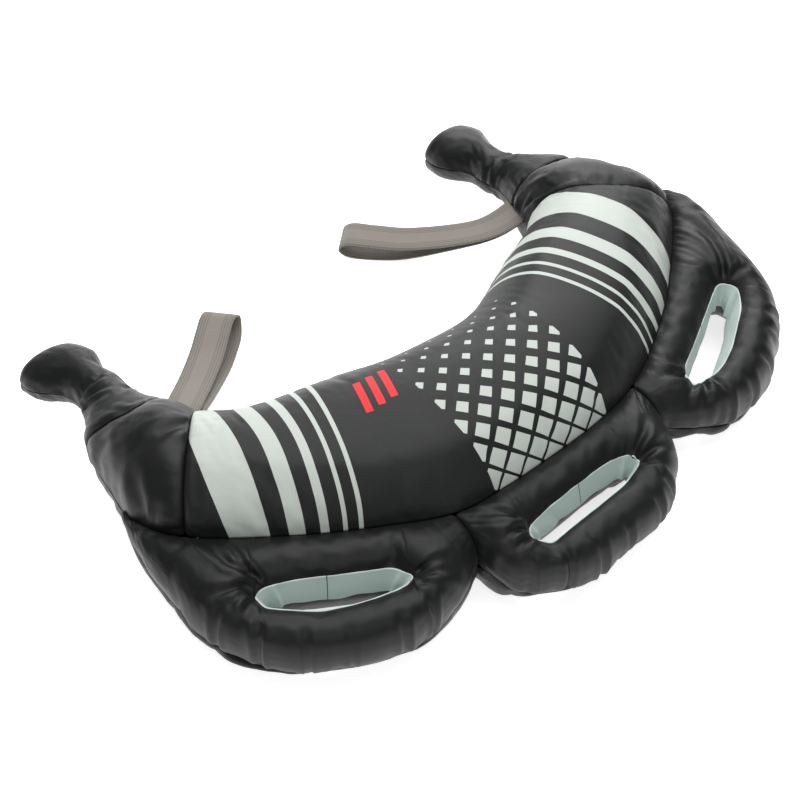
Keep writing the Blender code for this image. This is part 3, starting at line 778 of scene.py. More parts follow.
def gripStrip(upper, flipped):
    # from the root seam to the end, which closes down onto its edge seam
    places = list(bodyPlaces(rootSeam, gripTip, grip["step"]))
    share = np.clip(1 - (np.array(places) - rootSeam) / grip["shiftReach"], 0, 1) ** 2
    grid = shiftedGrid(places, upper, grip["rows"], share, flipped)
    closing = grid[-1].copy()
    closing[:, 2] = grip["levelShare"] * bag["height"]
    middle = (grid[-1] + closing) / 2 + [0, grip["endRound"], 0]
    grid = np.concatenate([grid, middle[None], closing[None]])
    places = [min(place, gripTip) for place in places + [gripTip, gripTip]]
    ways = {
        "low": [seamInward(place, upper, "inner") for place in places],
        "high": [seamInward(place, upper, "outer") for place in places],
        "first": endInward(grid[0]),
        "last": np.tile([0.0, -1.0, 0.0], (grip["rows"] + 1, 1)),
    }
    grid[0] += ways["first"] * bag["seamSink"]
    ways["first"] = rootWay(ways["first"])
    grid = keptBack(grid, ("first", "last", "low", "high"), bag["seamRoom"])
    ways = {side: mirrorWay(way, flipped) for side, way in ways.items()}
    return strip(lie(grid, flipped), ways)


def lobeStrips(lobe, upper, flipped, step):
    places, outer, inner, parted = lobe.strips(upper, step)
    runs = np.array([lobe.ends(place)[1] - lobe.ends(place)[0] for place in places])
    edgeWay = [np.array([*unit(run), 0]) for run in runs]
    seamWay = [seamInward(min(place, lobeEnd - 0.02), upper, "outer") for place in places]

    def rimWay(points):
        # above, the rims' allowance hangs down behind the lining; below, it lies flat inside the lobe
        away = [(0, 0, -1) if upper else unit([*(point[:2] - lobe.centre), 0]) for point in points]
        return np.where(parted[:, None], away, np.nan)

    outerRimWay, innerRimWay = rimWay(outer[:, -1]), rimWay(inner[:, 0])
    rows = outer.shape[1]
    ends = {}
    for name, index in (("first", 0), ("last", -1)):
        whole = np.concatenate([outer[index], inner[index][1:]])
        way = endInward(whole)
        outer[index] += way[:rows] * bag["seamSink"]
        inner[index] += way[rows - 1 :] * bag["seamSink"]
        ends[name] = (way[:rows], way[rows - 1 :])
    outer = keptBack(outer, ("first", "last", "low"), bag["seamRoom"])
    inner = keptBack(inner, ("first", "last", "high"), bag["seamRoom"])
    outerWays = {"low": edgeWay, "high": outerRimWay, "first": ends["first"][0], "last": ends["last"][0]}
    innerWays = {"low": innerRimWay, "high": seamWay, "first": ends["first"][1], "last": ends["last"][1]}
    widths = [borderLengths(grid)[0][:, -1:] for grid in (outer, inner)]
    room = np.clip(np.linalg.norm(runs, axis=1) / slot["narrow"] - 0.1, 0, 1)
    made = []
    for grid, ways, anchor, rimSide, far in (
        (outer, outerWays, rows - 1, "high", (0, widths[1])),
        (inner, innerWays, 0, "low", (widths[0], 0)),
    ):
        rimGap = np.maximum(0, lobe.slotGap(grid[..., :2]) + slot["coverRoom"])
        ways = {side: mirrorWay(way, flipped) for side, way in ways.items()}
        made.append(strip(lie(grid, flipped), ways, anchor, rimSide, rimGap, far, room))
    return made


# Hand slots: a tube of lining cloth, folded over the rim and puckered at both ends of the slot
lining = {
    "around": 200,
    "roll": 0.0008,  # how far the folded rim stands above the cover
    "rim": 0.0018,  # width of the folded rim
    "belowRoom": 0.0040,  # how far the lower edge lies inside the lower opening
    "bottom": 0.0395,
    "thickness": 0.0006,
    "pleats": (0.022, 0.945, 0.462, 0.500, 0.541),  # where pleats lie, as shares of the way round
    "pleatDepth": 0.0034,
    "pleatWidth": 0.0042,
    "uneven": 0.0028,
    "unevenPitch": 0.024,
    "pleatDrift": 0.012,  # how far a pleat may stray from its place, as a share of the way round
    "edgeWave": 0.0008,  # how far the folded edges rise and fall
    "edgePitch": 0.013,
    "towardsMiddle": 0.8,  # the folds lean towards the slot's middle line rather than its centre
    "depthAtRim": 0.12,  # share of the folds' depth that the rim shows
    "depthGain": 1.6,  # how soon the folds reach their full depth down the wall
    "foldRows": 5,
    "wallRows": 9,
    "seamAt": 0.765,
}


def liningStrip(name, seed):
    # rows from the outside of the folded rim, over it and down the wall
    above, below = lobes[name]
    count = lining["around"]
    low = below.rimLoop(count, lining["belowRoom"])
    turns = np.linspace(0, math.pi, lining["foldRows"] + 1)
    profile = [(0.5 - 0.5 * math.cos(turn), math.sin(turn), 0.0) for turn in turns]
    profile += [(1.0, 0.0, part) for part in np.linspace(0, 1, lining["wallRows"])[1:]]
    share = np.arange(count) / count
    grid = []
    for inwards, rise, part in profile:
        high = above.rimLoop(count, lining["rim"] * inwards)
        loop = high + (low - high) * part
        around = lengthsAlong(np.vstack([loop, loop[:1]]))
        length, around = around[-1], around[:-1]
        room = abs(waver(around, lining["unevenPitch"], seed)) * lining["uneven"]
        for number, spot in enumerate(lining["pleats"]):
            drift = waver(number, 0.9, seed + 3) * lining["pleatDrift"]
            away = length * ((share - spot + drift + 0.5) % 1 - 0.5)
            room = room + lining["pleatDepth"] * np.maximum(0, 1 - abs(away) / lining["pleatWidth"])
        offset = loop - above.centre
        middle = (offset @ above.along)[:, None] * above.along * lining["towardsMiddle"]
        way = unit(above.centre + middle - loop)
        deepened = math.sin(math.pi / 2 * min(1, lining["depthGain"] * part))
        depth = lining["depthAtRim"] + (1 - lining["depthAtRim"]) * deepened
        plan = loop + way * (room * depth)[:, None]
        height = slot["top"] + rise * lining["roll"] + (lining["bottom"] - slot["top"]) * part
        edgeShare = 0.3 if part == 0 else 0.5 + part
        height = height + waver(around, lining["edgePitch"], seed + 2) * lining["edgeWave"] * edgeShare
        grid.append(np.column_stack([plan, height]))
    grid = np.array(grid).transpose(1, 0, 2)
    return np.concatenate([grid, grid[:1]])


def slotLining(name, seed):
    flipped = name == "left"
    grid = lie(liningStrip(name, seed), flipped)
    part = strip(grid, {})
    along = lengthsAlong(grid[:, grid.shape[1] // 2])
    down = borderLengths(grid)[0]
    part["cut"] = np.stack([np.broadcast_to(along[:, None], down.shape), down], axis=-1)
    # the tube's own seam
    seam = along[round(lining["seamAt"] * lining["around"])]
    part["seamGap"] = np.broadcast_to(abs(along - seam)[:, None], down.shape)
    part["seamPlace"] = down
    piece = clothPiece("slotTube_" + name, [part])
    data = piece.data
    centre = np.array([*(lobes[name][0].centre * [-1 if flipped else 1, 1]), 0])
    spread = readRows(data.polygons, "center") - centre
    if (spread * readRows(data.polygons, "normal"))[:, :2].sum() > 0:
        data.flip_normals()
    return piece, float(along[-1]), float(down.mean(axis=0)[-1])


# Webbing loops
strap = {
    "width": 0.030,
    "thickness": 0.0016,
    "opening": 0.016,
    "floorRoom": 0.0006,
    "rootPlace": 6.5,
    "rootSpan": 0.2,  # how much of the seam is measured for its direction
    "rootRoom": 0.0006,
    "plyRoom": 0.0003,
    "points": 220,
    "acrossPoints": 13,
    "edgeThin": 0.35,  # how much thinner the woven edge is than the middle
    "edgePower": 6,
    # for each loop as it lies: length in plan, lean in degrees, the share of the length in which it turns,
    # how far each ply lies off the middle, and how far the loop's root has shifted along x and y
    "left": (0.153, 41.4, 0.12, 0.0034, (0.0, 0.0)),
    "right": (0.162, 48.5, 0.30, -0.0014, (-0.001, -0.003)),
}
# Middle line from the root: along the length, height between floor and root, opening of the plies
strapPathShares = (
    (0.030, 0.930, 0.00),
    (0.160, 0.720, 0.14),
    (0.380, 0.400, 0.34),
    (0.630, 0.090, 0.75),
    (0.820, 0.000, 1.00),
    (0.950, 0.020, 0.92),
)


def strapFrame():
    ahead, behind = (ribAt(strap["rootPlace"] + sign * strap["rootSpan"]) for sign in (1, -1))
    seam = unit(ahead[0:2] - behind[0:2])
    away = np.array([-seam[1], seam[0]])
    rib = ribAt(strap["rootPlace"])
    root = rib[0:2] + away * (strap["thickness"] / 2 + strap["rootRoom"])
    return np.array([*root, rib[4]]), seam, away


def strapProfile(length):
    # closed middle line of both plies, as lengths along the strap and heights
    rootHeight = strapFrame()[0][2]
    thickness = strap["thickness"]
    floor = thickness / 2 + strap["floorRoom"]
    rows = np.array(strapPathShares)
    along = rows[:, 0] * (length - thickness / 2)
    plyGap = (thickness + strap["plyRoom"]) / 2
    lower = floor + rows[:, 1] * (rootHeight - floor) - plyGap * rows[:, 1]
    upper = lower + 2 * (plyGap + rows[:, 2] * strap["opening"] / 2)
    end = [length, (lower[-1] + upper[-1]) / 2]
    under = np.column_stack([along, lower])
    over = np.column_stack([along, upper])[::-1]
    return np.vstack([[0, rootHeight], under, end, over])


def strapPoint(hand, along, height, sideways):
    root, seam, away = strapFrame()
    length, degrees, turnShare, _, shift = strap[hand]
    lean = np.array([-math.cos(math.radians(degrees)), math.sin(math.radians(degrees))])
    turnLength = turnShare * length
    turn = max(0, min(1, along / turnLength))
    leaning = turnLength * turn**3 * (1 - turn / 2) + max(0, along - turnLength)
    ease = turn * turn * (3 - 2 * turn)
    across = unit(seam + ease * (np.array([lean[1], -lean[0]]) - seam))
    plan = root[:2] + shift + away * (along - leaning) + lean * leaning + sideways * across
    return np.array([*plan, height])


def webbingLoop(name, hand):
    length, slip = strap[hand][0], strap[hand][3]
    points = strapProfile(length)
    around = np.vstack([points[-1], points, points[:3]])
    fine = np.array([smoothAt(around, 1 + p) for p in np.linspace(0, len(points), 40 * len(points) + 1)])
    curve = evenSteps(fine, strap["points"])[:-1]
    # the lower ply lies a little to one side of the upper
    rise = np.interp(curve[:, 0], (0, 0.03, length - 0.012, length), (0.4, 0.7, 1, 0))
    under = np.linspace(0, 1, len(curve)) < 0.5
    slip = slip * rise * np.where(under, -1, 1)
    soft = 6
    closed = np.concatenate([slip[-soft:], slip, slip[:soft]])
    slip = np.convolve(closed, np.ones(2 * soft + 1) / (2 * soft + 1), "valid")
    tangent = unit(np.roll(curve, -1, axis=0) - np.roll(curve, 1, axis=0))
    normal = np.column_stack([-tangent[:, 1], tangent[:, 0]])
    half, thick = strap["width"] / 2, strap["thickness"] / 2
    across = np.linspace(-1, 1, strap["acrossPoints"])
    thin = strap["edgeThin"] * abs(across) ** strap["edgePower"]
    section = list(zip(across * half, thick * (1 - thin)))
    section += [(-side, -height) for side, height in section]
    grid = []
    for sideways, lift in section + section[:1]:
        line = curve + normal * lift
        ring = [strapPoint(hand, *spot, sideways + side) for spot, side in zip(line, slip)]
        grid.append(ring + ring[:1])
    grid = np.array(grid) * [-1 if hand == "left" else 1, 1, 1]
    mesh = bmesh.new()
    cut = mesh.loops.layers.uv.new("cut")
    reach = np.linspace(0, lengthsAlong(curve)[-1], len(curve) + 1)
    corners = [[mesh.verts.new(point) for point in row] for row in grid]
    wide = [sideways for sideways, _ in section] + [section[0][0]]
    addFaces(mesh, cut, corners, np.stack(np.meshgrid(wide, reach, indexing="ij"), axis=-1))
    return pieceFrom(mesh, name)


# Folds: what the sewing gathers along each side of a piece, as depth, reach and spacing
gathers = {
    "panelCover": {
        "low": (0.0006, 0.010, 0.009),
        "high": (0.0006, 0.010, 0.008),
        "ends": (0.0006, 0.012, 0.009),
    },
    "lobeCover": {
        "low": (0.0034, 0.021, 0.022),
        "high": (0.0007, 0.018, 0.009),
        "ends": (0.0012, 0.014, 0.009),
    },
    "shoulderCover": {
        "low": (0.0012, 0.014, 0.010),
        "high": (0.0011, 0.014, 0.009),
        "ends": (0.0011, 0.012, 0.010),
    },
    "gripCover": {
        "low": (0.0013, 0.012, 0.008),
        "high": (0.0013, 0.012, 0.008),
        "ends": (0.0014, 0.013, 0.009),
    },
}
folding = {
    "fullWidth": 0.08,  # a piece as wide as this has its folds at nearly their full depth
    "broadPitch": 0.040,
    "finePitch": 0.017,
    "seamEase": 0.003,  # next to a seam the folds are held down
    "floorRoom": 0.0002,
}
# The depth of the broad and of the fine unevenness
unevenness = {
    "panelCover": (0.0005, 0.0001),
    "lobeCover": (0.0011, 0.0004),
    "shoulderCover": (0.0012, 0.0005),
    "gripCover": (0.0007, 0.0004),
}

# Deep folds, in millimetres: depth, width, then plan points from the deep end
creases = {
    "lobeCover_left_top": (
        (4.0, 4.5, (-251, -80), (-258, -63), (-258, -26)),
        (3.4, 3.5, (-247, -83), (-250, -70), (-247, -34)),
        (3.8, 3.5, (-257, -84), (-271, -81), (-282, -75), (-292, -66)),
        (3.0, 3.0, (-258, -88), (-276, -89), (-290, -83)),
        (3.0, 4.0, (-256, -92), (-274, -102), (-288, -104)),
        (4.2, 4.0, (-156, -158), (-141, -166), (-124, -171)),
        (3.6, 3.5, (-151, -154), (-138, -159), (-122, -164)),
        (2.4, 4.0, (-158, -164), (-146, -178), (-140, -186)),
        (2.8, 3.4, (-298, -90), (-281, -84)),
        (3.2, 3.4, (-284, -126), (-268, -112)),
        (2.6, 3.0, (-256, -153), (-246, -137)),
        (2.4, 3.0, (-228, -170), (-222, -156)),
        (3.4, 3.4, (-190, -188), (-186, -170)),
        (3.0, 3.2, (-162, -188), (-160, -172)),
    ),
    "lobeCover_middle_top": (
        (3.6, 4.0, (-66, -168), (-76, -156), (-88, -146)),
        (3.4, 4.0, (-70, -177), (-84, -176), (-98, -166)),
        (3.2, 4.0, (-68, -186), (-82, -186), (-96, -180)),
        (4.2, 4.0, (54, -185), (70, -188), (88, -187)),
        (3.0, 3.5, (52, -178), (68, -172), (84, -160)),
        (2.4, 3.5, (50, -190), (64, -200), (72, -208)),
        (3.2, 3.5, (-84, -209), (-80, -192)),
        (3.2, 3.0, (-57, -224), (-54, -204)),
        (3.6, 3.2, (-28, -234), (-29, -212), (-27, -205)),
        (3.0, 3.0, (2, -233), (0, -214)),
        (3.2, 3.2, (41, -229), (34, -210)),
        (2.8, 3.0, (61, -220), (50, -205)),
    ),
    "lobeCover_right_top": (
        (4.2, 4.5, (254, -88), (262, -76), (271, -56), (276, -20)),
        (2.8, 4.0, (259, -95), (272, -96), (284, -90)),
        (3.8, 4.0, (151, -147), (136, -144), (118, -136)),
        (3.4, 3.5, (150, -153), (134, -162), (123, -168)),
        (3.0, 3.5, (153, -158), (142, -172), (134, -180)),
        (2.4, 3.5, (160, -162), (158, -176), (154, -188)),
        (3.2, 3.2, (268, -147), (246, -140)),
        (2.8, 3.0, (252, -161), (234, -150)),
        (3.2, 3.2, (222, -182), (206, -164)),
        (3.2, 3.5, (190, -194), (182, -174)),
        (2.6, 3.0, (160, -194), (158, -178)),
    ),
    "shoulderCover_left_top": (
        (3.2, 5.0, (-204, 44), (-220, 50), (-240, 50)),
        (3.0, 6.0, (-206, 40), (-232, 47), (-262, 60)),
        (2.6, 5.0, (-287, 34), (-284, 50), (-272, 64)),
        (2.2, 4.0, (-281, 14), (-274, 30), (-268, 48)),
        (2.0, 3.5, (-280, 10), (-268, 7)),
    ),
    "shoulderCover_right_top": (
        (3.4, 5.5, (184, 98), (196, 72), (226, 60)),
        (3.0, 4.5, (186, 84), (196, 66), (220, 50)),
        (2.4, 5.0, (284, 40), (272, 56), (256, 64)),
    ),
    "gripCover_left_top": (
        (3.6, 4.5, (-242, 158), (-232, 151), (-219, 147)),
        (3.0, 3.5, (-244, 148), (-236, 140), (-226, 137)),
        (2.0, 3.5, (-200, 140), (-212, 138), (-226, 128)),
    ),
    "gripCover_right_top": (
        (2.6, 3.0, (193, 150), (201, 153), (212, 156)),
        (2.8, 3.0, (192, 140), (202, 142), (214, 146)),
        (2.2, 3.0, (194, 165), (202, 167)),
        (2.4, 3.5, (238, 150), (226, 150), (214, 152)),
    ),
}


def gathered(place, gap, depth, reach, pitch, seed):
    # folds square to a seam, some short and some long
    length = reach * (0.45 + 1.2 * abs(waver(place, 2.3 * pitch, seed + 1)))
    fold = 1.7 * abs(waver(place, pitch, seed)) ** 0.8 - 0.7 + 0.3 * waver(place, 0.5 * pitch, seed + 2)
    return depth * fold * np.exp(-gap / length)


def rolling(plan, pitch, seed):
    # a soft unevenness in every direction
    total = 0
    for number, angle in enumerate((0.3, 1.4, 2.5)):
        run = plan @ np.array([math.cos(angle), math.sin(angle)])
        side = plan @ np.array([-math.sin(angle), math.cos(angle)])
        drift = 0.35 * pitch * waver(side, 1.3 * pitch, seed + 10 + number)
        total = total + waver(run + drift, pitch, seed + number)
    return total / 2


def creased(plan, depth, width, *points):
    # one fold: a valley that fans out and fades from its deep end, with a low ridge on each side
    points = np.array(points) / 1000
    reach = lengthsAlong(points)
    nearest, part = np.full(len(plan), 1.0), np.zeros(len(plan))
    for start, end, begun in zip(points[:-1], points[1:], reach[:-1]):
        run = end - start
        spot = np.clip((plan - start) @ run / (run @ run), 0, 1)
        gap = np.linalg.norm(plan - start - spot[:, None] * run, axis=1)
        closer = gap < nearest
        nearest = np.where(closer, gap, nearest)
        part = np.where(closer, (begun + spot * np.linalg.norm(run)) / reach[-1], part)
    wide = width / 1000 * (0.55 + 0.8 * part)
    strength = depth / 1000 * (1 - part) ** 0.7
    ridge = np.exp(-(((nearest - 1.9 * wide) / wide) ** 2))
    return strength * (0.45 * ridge - np.exp(-((nearest / wide) ** 2)))


def foldPiece(piece, seed):
    # moves the points of a finer copy along their normals
    rounding = piece.modifiers.new("finer", "SUBSURF")
    rounding.levels = rounding.render_levels = 1
    graph = bpy.context.evaluated_depsgraph_get()
    rounded = piece.evaluated_get(graph)
    finer = bpy.data.meshes.new_from_object(rounded, preserve_all_data_layers=True, depsgraph=graph)
    piece.modifiers.remove(rounding)
    piece.data = finer
    finer.name = piece.name
    place, normals = readRows(finer.vertices, "co"), readRows(finer.vertices, "normal")
    across = readRows(finer.attributes["across"].data, "vector")
    lengthwise = readRows(finer.attributes["lengthwise"].data, "vector")
    gap = np.zeros(len(finer.vertices))
    finer.attributes["seamGap"].data.foreach_get("value", gap)
    kind = piece.name.split("_")[0]
    rules = gathers[kind]
    move = gathered(across[:, 2], across[:, 0], *rules["low"], seed)
    move += gathered(across[:, 2], across[:, 1], *rules["high"], seed + 20)
    move += gathered(lengthwise[:, 2], lengthwise[:, 0], *rules["ends"], seed + 40)
    move += gathered(lengthwise[:, 2], lengthwise[:, 1], *rules["ends"], seed + 60)
    # a narrow piece has little room for folds
    move *= np.clip((across[:, 0] + across[:, 1]) / folding["fullWidth"] - 0.2, 0.1, 1)
    broad, fine = unevenness[kind]
    spread = place[:, :2] + 0.3 * place[:, 2:]
    move += broad * rolling(spread, folding["broadPitch"], seed + 80)
    move += fine * rolling(spread, folding["finePitch"], seed + 90)
    for crease in creases.get(piece.name, ()):
        move += creased(place[:, :2], *crease)
    move *= 1 - np.exp(-np.maximum(0, gap) / folding["seamEase"])
    place += move[:, None] * normals
    place[:, 2] = np.maximum(place[:, 2], folding["floorRoom"])
    finer.vertices.foreach_set("co", place.ravel())


# Materials
weave = {
    "pitch": 0.0011,  # real threads lie 0.4 mm apart; drawn coarser so that the weave shows
    "liningPitch": 0.0009,
    "threadDepth": 0.00008,
    "stitch": 0.0036,
    "stitchReach": 0.0014,
    "stitchDepth": 0.0004,
    "gather": 0.010,  # spacing of the small folds that the sewing leaves along a seam
    "gatherStretch": 0.22,  # their spacing across the seam, as a share of that along it
    "gatherReach": 0.024,
    "creaseSize": 0.022,
    "threadWidth": 0.0004,  # half of the dark thread in a lining's own seam
}


def compute(tree, operation, *values):
    # one sum of numbers and of other nodes' outputs
    numbers = {place: value for place, value in enumerate(values) if isinstance(value, float)}
    sources = {place: value for place, value in enumerate(values) if place not in numbers}
    return addNode(tree, "Math", {"operation": operation} | numbers, sources).outputs[0]


def vectorSum(tree, operation, source, by=None):
    settings = {"operation": operation} | ({} if by is None else {1: by})
    return addNode(tree, "VectorMath", settings, {0: source}).outputs[0]


def ranged(tree, value, fromLow, fromHigh, toLow, toHigh):
    settings = {"From Min": fromLow, "From Max": fromHigh, "To Min": toLow, "To Max": toHigh}
    return addNode(tree, "MapRange", settings, {"Value": value}).outputs[0]


def noise(tree, spot, scale, detail, roughness, distortion=0.0):
    settings = {"Scale": scale, "Detail": detail, "Roughness": roughness, "Distortion": distortion}
    return addNode(tree, "TexNoise", settings, {"Vector": spot}).outputs["Fac"]


def bump(tree, height, strength, distance, under=None):
    links = {"Height": height} | ({} if under is None else {"Normal": under})
    return addNode(tree, "Bump", {"Strength": strength, "Distance": distance}, links).outputs[0]


def mixed(tree, share, first, second):
    # a colour is given as hex or as another node's output
    pair = {6: first, 7: second}
    plain = {key: linear(value) for key, value in pair.items() if isinstance(value, str)}
    sources = {key: value for key, value in pair.items() if key not in plain}
    return addNode(tree, "Mix", {"data_type": "RGBA"} | plain, {0: share} | sources).outputs[2]


def flatCut(tree):
    return addNode(tree, "UVMap", {"uv_map": "cut"}).outputs["UV"]


def seamValue(tree, name):
    return addNode(tree, "Attribute", {"attribute_name": name}).outputs["Fac"]


def wave(tree, cut, direction, pitch):
    # Blender's wave repeats every 2 pi / 20 of a unit at scale 1
    scale = 2 * math.pi / 20 / pitch
    settings = {"wave_type": "BANDS", "bands_direction": direction, "Scale": scale}
    return addNode(tree, "TexWave", settings, {"Vector": cut}).outputs["Fac"]


def fadeFromSeam(tree, gap, reach):
    # 1 on a seam, falling away over reach
    return compute(tree, "EXPONENT", compute(tree, "MULTIPLY", gap, -1 / reach))


def clothRelief(tree, shader, cut, creaseDepth, gatherDepth, pitch):
    # weave, stitch holes, gathers along the seams and soft creases, as bumps one over another
    gap, place = seamValue(tree, "seamGap"), seamValue(tree, "seamPlace")
    spot = addNode(tree, "TexCoord").outputs["Object"]
    threads = compute(tree, "ADD", wave(tree, cut, "X", pitch), wave(tree, cut, "Y", pitch))
    relief = bump(tree, threads, 0.5, weave["threadDepth"])
    along = addNode(tree, "CombineXYZ", {}, {"X": place, "Y": gap}).outputs[0]
    closeness = (1 / weave["gather"], weave["gatherStretch"] / weave["gather"], 1)
    folds = noise(tree, vectorSum(tree, "MULTIPLY", along, closeness), 1.0, 1.5, 0.45)
    gathered = compute(tree, "MULTIPLY", folds, fadeFromSeam(tree, gap, weave["gatherReach"]))
    relief = bump(tree, gathered, 1.0, gatherDepth, relief)
    stitches = wave(tree, along, "X", weave["stitch"])
    pulled = compute(tree, "MULTIPLY", stitches, fadeFromSeam(tree, gap, weave["stitchReach"]))
    relief = bump(tree, pulled, 0.5, weave["stitchDepth"], relief)
    soft = noise(tree, spot, 1 / weave["creaseSize"], 3.0, 0.5, 0.6)
    relief = bump(tree, soft, 0.6, creaseDepth, relief)
    tree.links.new(relief, shader.inputs["Normal"])
    return spot


def shineAndTone(tree, shader, spot, dark, light, dull, bright):
    # handling leaves the coating a little lighter and duller in patches
    patches = noise(tree, spot, 14.0, 5.0, 0.6)
    tree.links.new(ranged(tree, patches, 0.3, 0.7, bright, dull), shader.inputs["Roughness"])
    return mixed(tree, patches, dark, light)


satin = {"IOR": 1.5, "Specular IOR Level": 0.2, "Sheen Weight": 0.02, "Sheen Roughness": 0.4}


def coatedCloth():
    # Polyester with a calendered PU coat: nearly black, with a satin sheen that shows every fold
    made, tree, shader = startMaterial("coatedPolyesterBlack", satin)
    spot = clothRelief(tree, shader, flatCut(tree), 0.0005, 0.0006, weave["pitch"])
    tone = shineAndTone(tree, shader, spot, "#0d0e0e", "#161717", 0.46, 0.33)
    tree.links.new(tone, shader.inputs["Base Color"])
    return made


# The printed top panel, in millimetres on the flat cut: each bar as x, y, angle, length and width
printing = {
    "ink": "#adb4ae",
    "accent": "#cf1f27",
    "bars": (
        (-222, -20, 72, 330, 32),
        (-186, -30, 72, 330, 13),
        (-163, -30, 72, 330, 7),
        (-146, -30, 72, 330, 3.6),
        (-133, -30, 72, 330, 3.6),
        (108, -40, 108, 330, 3.6),
        (121, -40, 108, 330, 3.6),
        (138, -40, 108, 330, 7),
        (163, -40, 108, 330, 14),
        (204, -30, 108, 330, 30),
    ),
    "dashes": ((-100, -28, 72, 34, 6), (-88, -28, 72, 34, 6), (-76, -28, 72, 34, 6)),
    "dotPitch": 17,
    "dotFull": -150,  # y where the diamonds are largest
    "dotGone": 25,  # y where they vanish
    "dotSize": 0.52 / 1.2,  # half width of the largest, as a share of the pitch
    "dotField": (0, -60, 0, 124, 260),
}


def squareReach(tree, spot):
    # the larger of a point's distances from the two axes
    parts = addNode(tree, "SeparateXYZ", {}, {0: vectorSum(tree, "ABSOLUTE", spot)})
    return compute(tree, "MAXIMUM", parts.outputs[0], parts.outputs[1])


def barMask(tree, cut, bar):
    x, y, angle, length, width = bar
    settings = {
        "vector_type": "TEXTURE",
        "Location": (x / 1000, y / 1000, 0),
        "Rotation": (0, 0, math.radians(angle)),
        "Scale": (length / 2000, width / 2000, 1),
    }
    placed = addNode(tree, "Mapping", settings, {"Vector": cut})
    return compute(tree, "LESS_THAN", squareReach(tree, placed.outputs[0]), 1.0)


def union(tree, masks):
    total = masks[0]
    for mask in masks[1:]:
        total = compute(tree, "MAXIMUM", total, mask)
    return total


def diamonds(tree, cut):
    # a lattice of diamonds that shrink towards the inner seam
    closeness = 1000 / printing["dotPitch"]
    settings = {
        "vector_type": "POINT",
        "Rotation": (0, 0, math.radians(45)),
        "Scale": (closeness, closeness, 1),
    }
    turned = addNode(tree, "Mapping", settings, {"Vector": cut}).outputs[0]
    cell = vectorSum(tree, "FRACTION", turned)
    reach = squareReach(tree, vectorSum(tree, "SUBTRACT", cell, (0.5, 0.5, 0)))
    where = addNode(tree, "SeparateXYZ", {}, {0: cut}).outputs[1]
    full, gone = printing["dotFull"] / 1000, printing["dotGone"] / 1000
    inside = compute(tree, "LESS_THAN", reach, ranged(tree, where, full, gone, printing["dotSize"], 0.0))
    return compute(tree, "MULTIPLY", inside, barMask(tree, cut, printing["dotField"]))


def printedCloth():
    # The same polyester, printed before it was coated: the ink lies under the satin
    made, tree, shader = startMaterial("printedPolyester", satin)
    cut = flatCut(tree)
    spot = clothRelief(tree, shader, cut, 0.0006, 0.0008, weave["pitch"])
    tone = shineAndTone(tree, shader, spot, "#131414", "#1c1d1d", 0.5, 0.38)
    ink = union(tree, [barMask(tree, cut, bar) for bar in printing["bars"]] + [diamonds(tree, cut)])
    accent = union(tree, [barMask(tree, cut, bar) for bar in printing["dashes"]])
    inked = mixed(tree, ink, tone, printing["ink"])
    tree.links.new(mixed(tree, accent, inked, printing["accent"]), shader.inputs["Base Color"])
    return made


def liningCloth():
    # Uncoated nylon lining: pale, matt, with a fine weave
    surface = {"IOR": 1.5, "Specular IOR Level": 0.35, "Sheen Weight": 0.1, "Sheen Roughness": 0.5}
    made, tree, shader = startMaterial("nylonLiningGrey", surface)
    spot = clothRelief(tree, shader, flatCut(tree), 0.0005, 0.0006, weave["liningPitch"])
    tone = shineAndTone(tree, shader, spot, "#a9b8b3", "#bccac5", 0.62, 0.5)
    # the tube's own seam is sewn with dark thread
    thread = compute(tree, "LESS_THAN", seamValue(tree, "seamGap"), weave["threadWidth"])
    tree.links.new(mixed(tree, thread, tone, "#3c4442"), shader.inputs["Base Color"])
    return made


# The webbing's own weave
band = {
    "twillAngle": 38,
    "twillPitch": 0.0016,
    "ribPitch": 0.0023,
    "weftPitch": 0.0012,
    "selvedgeFrom": 0.0065,  # from the middle line to the plain edge
    "relief": 0.0003,
}


def webbingCloth():
    # Woven polypropylene: twill middle, plain selvedges with a rib every few threads
    surface = {"IOR": 1.49, "Specular IOR Level": 0.3, "Roughness": 0.75}
    surface |= {"Sheen Weight": 0.15, "Sheen Roughness": 0.5}
    made, tree, shader = startMaterial("polypropyleneWebbing", surface)
    cut = flatCut(tree)
    turn = {"Rotation": (0, 0, math.radians(band["twillAngle"]))}
    twill = addNode(tree, "Mapping", turn, {"Vector": cut}).outputs[0]
    diagonal = wave(tree, twill, "X", band["twillPitch"])
    ridges = wave(tree, cut, "X", band["ribPitch"])
    plain = compute(tree, "MULTIPLY", ridges, wave(tree, cut, "Y", band["weftPitch"]))
    across = addNode(tree, "SeparateXYZ", {}, {0: cut}).outputs[0]
    selvedge = compute(tree, "GREATER_THAN", compute(tree, "ABSOLUTE", across), band["selvedgeFrom"])
    sides = {0: selvedge, 2: diagonal, 3: plain}
    pattern = addNode(tree, "Mix", {"data_type": "FLOAT"}, sides).outputs[0]
    tree.links.new(bump(tree, pattern, 0.9, band["relief"]), shader.inputs["Normal"])
    # the weave's height also sets its colour: the low threads are darker, painted shade in the grooves
    # between the raised threads
    tree.links.new(mixed(tree, pattern, "#645f58", "#87817a"), shader.inputs["Base Color"])
    return made


black = coatedCloth()
printed = printedCloth()
pale = liningCloth()
webbing = webbingCloth()

# Building
sewnPieces = []
finishing = []


def addCover(name, strips, nodes, upper, floorPinned=False):
    piece = clothPiece(name, strips, floorPinned)
    faceOut(piece, upper)
    fill, grow = stuffing[name.split("_")[0]]
    sewnPieces.append((piece, grow))
    material = printed if name == "panelCover_top" else black
    finishing.append((piece, nodes, material, "coated_cloth", fill))


